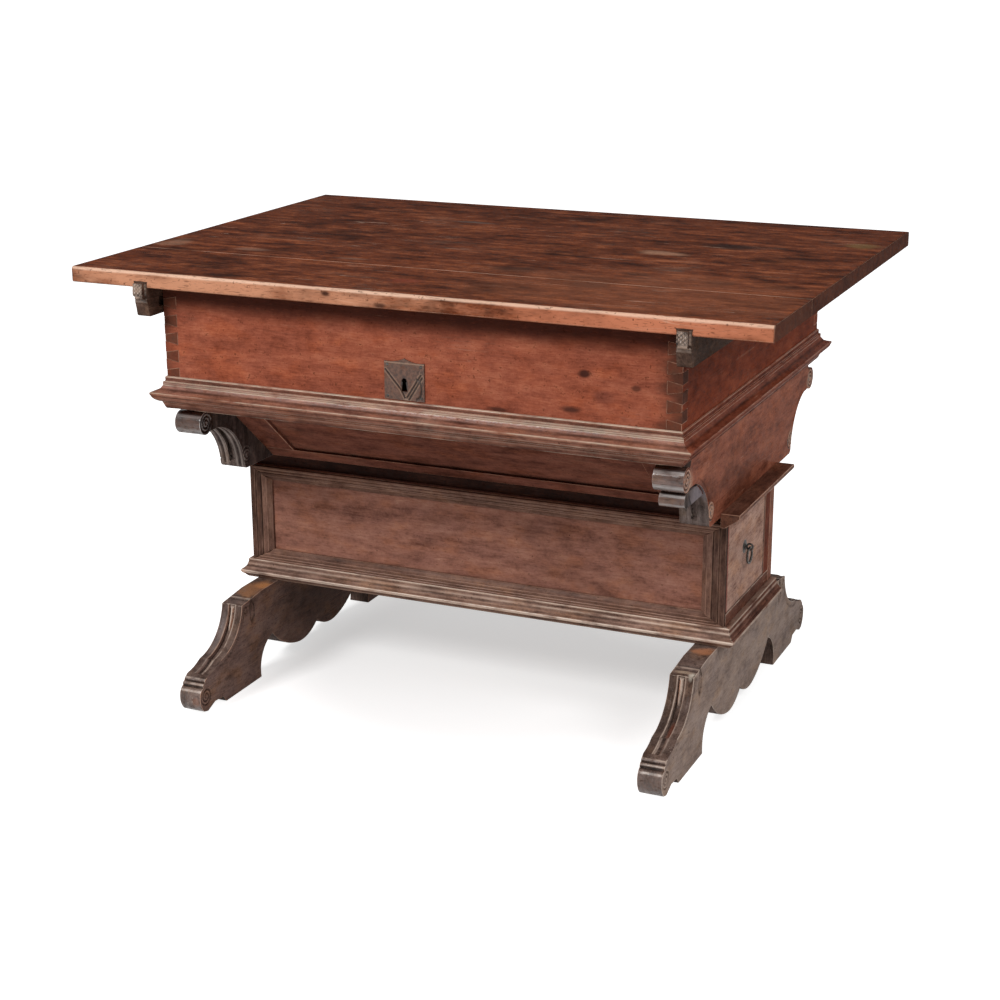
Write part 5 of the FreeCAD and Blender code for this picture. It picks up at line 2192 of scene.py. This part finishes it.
    def tongue(self, aside: float, up: float) -> float:
        """Give the height of the tongue that lies in the leg's groove.

        Args:
            aside: Distance from the groove's middle.
            up: Height on the leg.

        Returns:
            How far the tongue stands up.
        """
        top, foot = self.ankle
        share = (top - up) / (top - foot)
        start, taper = self.tongue_taper
        end, fall = self.tongue_stop
        half = self.tongue_half
        if share >= start:
            half = max(self.tongue_tip, half - (share - start) * taper)
        return self.tongue_rise * hump(aside, half) * min(1.0, max(0.0, (end - share) * fall))

    def toe_angle(self, out: float, up: float) -> float:
        """Give the angle of a place round the toe's axis, in degrees above level."""
        return math.degrees(math.atan2(up - self.toe_level, out - self.toe_axis))

    def strips(self, place: Vector, normal: Vector) -> float:
        """Hollow out the strips on both sides of the leg's groove.

        Args:
            place: Place on the trestle.
            normal: Its normal.

        Returns:
            The depth.
        """
        out, across = abs(place.y), abs(place.x) - self.inner_face
        in_groove = abs(across - self.width / 2) < self.groove_half
        if in_groove or abs(normal.x) > HALFWAY or not self.on_leg(out, place.z):
            return 0.0
        return sum(depth * hump(across - middle, half) for middle, half, depth in self.leg_strips)

    def on_leg(self, out: float, up: float) -> bool:
        """Tell whether a place is on the front of the leg or the instep."""
        return self.leg_reach[0] < out < self.leg_reach[1] and up > self.leg_foot

    def planed(self, place: Vector) -> Vector | None:
        """Take the instep down to a hollow that runs on into the toe.

        Args:
            place: Place on the trestle.

        Returns:
            The new place, or nothing off the instep.
        """
        out = abs(place.y)
        if not self.instep_reach[0] < out < self.instep_reach[1] or place.z < self.leg_foot:
            return None
        (start, height), (middle, half, depth) = self.instep_start, self.instep_hollow
        level = height - (out - start) * self.instep_fall - depth * hump(out - middle, half)
        return Vector((place.x, place.y, min(place.z, level)))

    def rolled(self, place: Vector) -> Vector | None:
        """Draw the toe in above its roll, where two bands step back.

        Args:
            place: Place on the trestle.

        Returns:
            The new place, or nothing off the toe.
        """
        out, up = abs(place.y) - self.toe_axis, place.z - self.toe_level
        if out <= 0:
            return None
        angle = math.degrees(math.atan2(up, out))
        for (start, first), (end, second) in zip(self.toe_line, self.toe_line[1:]):
            if start <= angle < end:
                share = first + (second - first) * (angle - start) / (end - start)
                far = math.copysign(self.toe_axis + out * share, place.y)
                return Vector((place.x, far, self.toe_level + up * share))
        return None

    def darkening(self, place: Vector, normal: Vector) -> float:
        """Give painted shade on the inner strip of the right trestle's legs.

        Args:
            place: Place on the trestle.
            normal: Its normal.

        Returns:
            The painted shade.
        """
        if abs(normal.x) > PARTLY or not self.on_leg(abs(place.y), place.z):
            return 0.0
        # Painted shade on the right trestle's inner strip.
        return self.strip_shade if 0 < place.x < self.inner_face + self.inner_strip else 0.0

    def crests(self, place: Vector, normal: Vector) -> float:
        """Give the pale fillets beside the groove and the bright lip of the shoulder.

        Args:
            place: Place on the trestle.
            normal: Its normal.

        Returns:
            The wear.
        """
        out, across = abs(place.y), abs(place.x) - self.inner_face
        if abs(normal.x) > FULLY:
            return self.toe.ridge(out, place.z) * self.spiral_wear
        if place.z > self.shoulder_level and normal.z > HALFWAY:
            half, wear = self.lip_wear
            return wear * hump(out - sum(self.shoulder_bands) / 2, half)
        if out > self.toe_axis:
            half, wear = self.toe_wear
            return wear * max(hump(self.toe_angle(out, place.z) - crest, half) for crest in self.toe_crests)
        if not self.on_leg(out, place.z):
            return 0.0
        return max(wear * hump(across - middle, half) for middle, half, wear in self.fillets)

    def side_cut(self, out: float, up: float, behind: float) -> float:
        """Give the depth of the carving on a side face.

        Args:
            out: Distance from the table's middle line.
            up: Height.
            behind: Distance behind the leg's hollow edge.

        Returns:
            The depth.
        """
        depth = max(self.toe.cut(out, up), self.shoulder_curl.cut(out, up))
        if self.margin_reach[0] < out < self.margin_reach[1] and up > self.leg_foot:
            depth = max(depth, self.margin_depth * hump(behind - self.margin, self.margin_half))
        (middle, level), (across, upward) = self.drop_middle, self.drop_reach
        rim = math.hypot((out - middle) / across, (up - level) / upward)
        half, cut = self.drop_rim
        depth = max(depth, cut * hump(rim - 1, half))
        if rim < 1:
            half, cut = self.drop_rib
            depth = max(depth, cut * hump(out - middle, half))
        return depth


@dataclass
class Studio:
    """Pale floor, soft light and the camera."""

    camera_place: tuple[float, float, float] = (1.326289, -3.059945, 1.366383)
    camera_yaw: float = 23.698
    camera_pitch: float = 17.292
    camera_roll: float = -0.160
    lens: float = 69.762
    floor_half: float = 60.0
    floor_drop: float = 0.2 * MM
    ambient: float = 0.26
    shade_reach: tuple = (0.56, 0.62, 1.0)
    shade_shift: tuple = (0.06, -0.1, 0.0)
    shade_rim: tuple = (0.55, 1.15)
    shade_glow: float = 0.5
    floor_tone: Colour = (0.72, 0.72, 0.72, 1.0)
    white: Colour = (1.0, 1.0, 1.0, 1.0)
    sensor: float = 36.0
    lamps: tuple = (
        ("front_box", (-1.6, -3.2, 2.9), (0.0, 0.0, 0.5), 1.3, 108),
        ("side_box", (2.8, -1.0, 2.6), (0.3, 0.0, 0.4), 1.4, 40),
    )

    def build(self) -> None:
        """Lay the floor, hang the lamps and set the camera."""
        self.floor()
        self.world()
        for given in self.lamps:
            self.lamp(*given)
        self.camera()

    def floor(self) -> None:
        """Lay a white floor that keeps the table's shadow."""
        mesh = bmesh.new()
        bmesh.ops.create_grid(mesh, x_segments=1, y_segments=1, size=self.floor_half)
        bmesh.ops.translate(mesh, verts=mesh.verts, vec=(0, 0, -self.floor_drop))
        data = bpy.data.meshes.new("floor")
        mesh.to_mesh(data)
        mesh.free()
        piece = bpy.data.objects.new("floor", data)
        bpy.context.scene.collection.objects.link(piece)
        paint = bpy.data.materials.new("white_floor")
        paint.use_nodes = True
        bench = NodeBench(paint.node_tree)
        shade = bench.mapped(tuple(1 / reach for reach in self.shade_reach), self.shade_shift)
        far = bench.length(shade).eased(*self.shade_rim)
        seen = self.seen(bench)
        matt = bench.node("ShaderNodeBsdfDiffuse", None, {"Color": self.floor_tone})
        level = (self.shade_glow + (1 - self.shade_glow) * far) * seen
        glow = bench.node("ShaderNodeEmission", None, {"Color": self.white, "Strength": level})
        both = bench.node("ShaderNodeAddShader", None, {0: matt.outputs[0], 1: glow.outputs[0]})
        bench.node("ShaderNodeOutputMaterial", None, {"Surface": both.outputs[0]})
        data.materials.append(paint)

    def seen(self, bench: NodeBench) -> Value:
        """Tell the rays that see the room: from the camera, off gloss and through glass.

        Args:
            bench: Where the nodes go.

        Returns:
            1 on such a ray, else 0.
        """
        path = bench.node("ShaderNodeLightPath")
        rays = ("Is Camera Ray", "Is Glossy Ray", "Is Transmission Ray")
        straight, mirrored, through = (Value(bench, path.outputs[ray]) for ray in rays)
        return straight.most(mirrored).most(through)

    def world(self) -> None:
        """Fill the room with even light, white to the camera."""
        room = bpy.data.worlds.new("room")
        bpy.context.scene.world = room
        room.use_nodes = True
        bench = NodeBench(room.node_tree)
        level = self.ambient + (1 - self.ambient) * self.seen(bench)
        back = bench.node("ShaderNodeBackground", None, {"Color": (1, 1, 1, 1), "Strength": level})
        bench.node("ShaderNodeOutputWorld", None, {"Surface": back.outputs[0]})

    def lamp(self, name: str, place: tuple, target: tuple, size: float, power: float) -> None:
        """Hang one soft box.

        Args:
            name: Name of the lamp.
            place: Where it hangs.
            target: Point that it faces.
            size: Side of the box.
            power: Power in watts.
        """
        data = bpy.data.lights.new(name, "AREA")
        data.shape = "SQUARE"
        data.size = size
        data.energy = power
        lamp = bpy.data.objects.new(name, data)
        lamp.location = place
        lamp.rotation_euler = (Vector(target) - Vector(place)).to_track_quat("-Z", "Y").to_euler()
        bpy.context.scene.collection.objects.link(lamp)

    def camera(self) -> None:
        """Stand the camera where the photograph was taken."""
        data = bpy.data.cameras.new("camera")
        data.lens = self.lens
        data.sensor_width = self.sensor
        eye = bpy.data.objects.new("camera", data)
        yaw = Matrix.Rotation(math.radians(self.camera_yaw), 4, "Z")
        pitch = Matrix.Rotation(math.radians(90 - self.camera_pitch), 4, "X")
        roll = Matrix.Rotation(math.radians(self.camera_roll), 4, "Z")
        eye.matrix_world = Matrix.Translation(self.camera_place) @ yaw @ pitch @ roll
        bpy.context.scene.collection.objects.link(eye)
        bpy.context.scene.camera = eye


def main() -> None:
    """Build the table's looks in order."""
    logging.basicConfig(level=logging.INFO, format="%(message)s")
    bpy.context.scene.view_settings.view_transform = "Standard"
    for assembly in (SlidingTop(), MoneyBox(), Trough(), LowerBox(), Drawer(), Trestles(), Studio()):
        assembly.build()
        log.info("%s done", type(assembly).__name__)


if __name__ == "__main__":
    main()
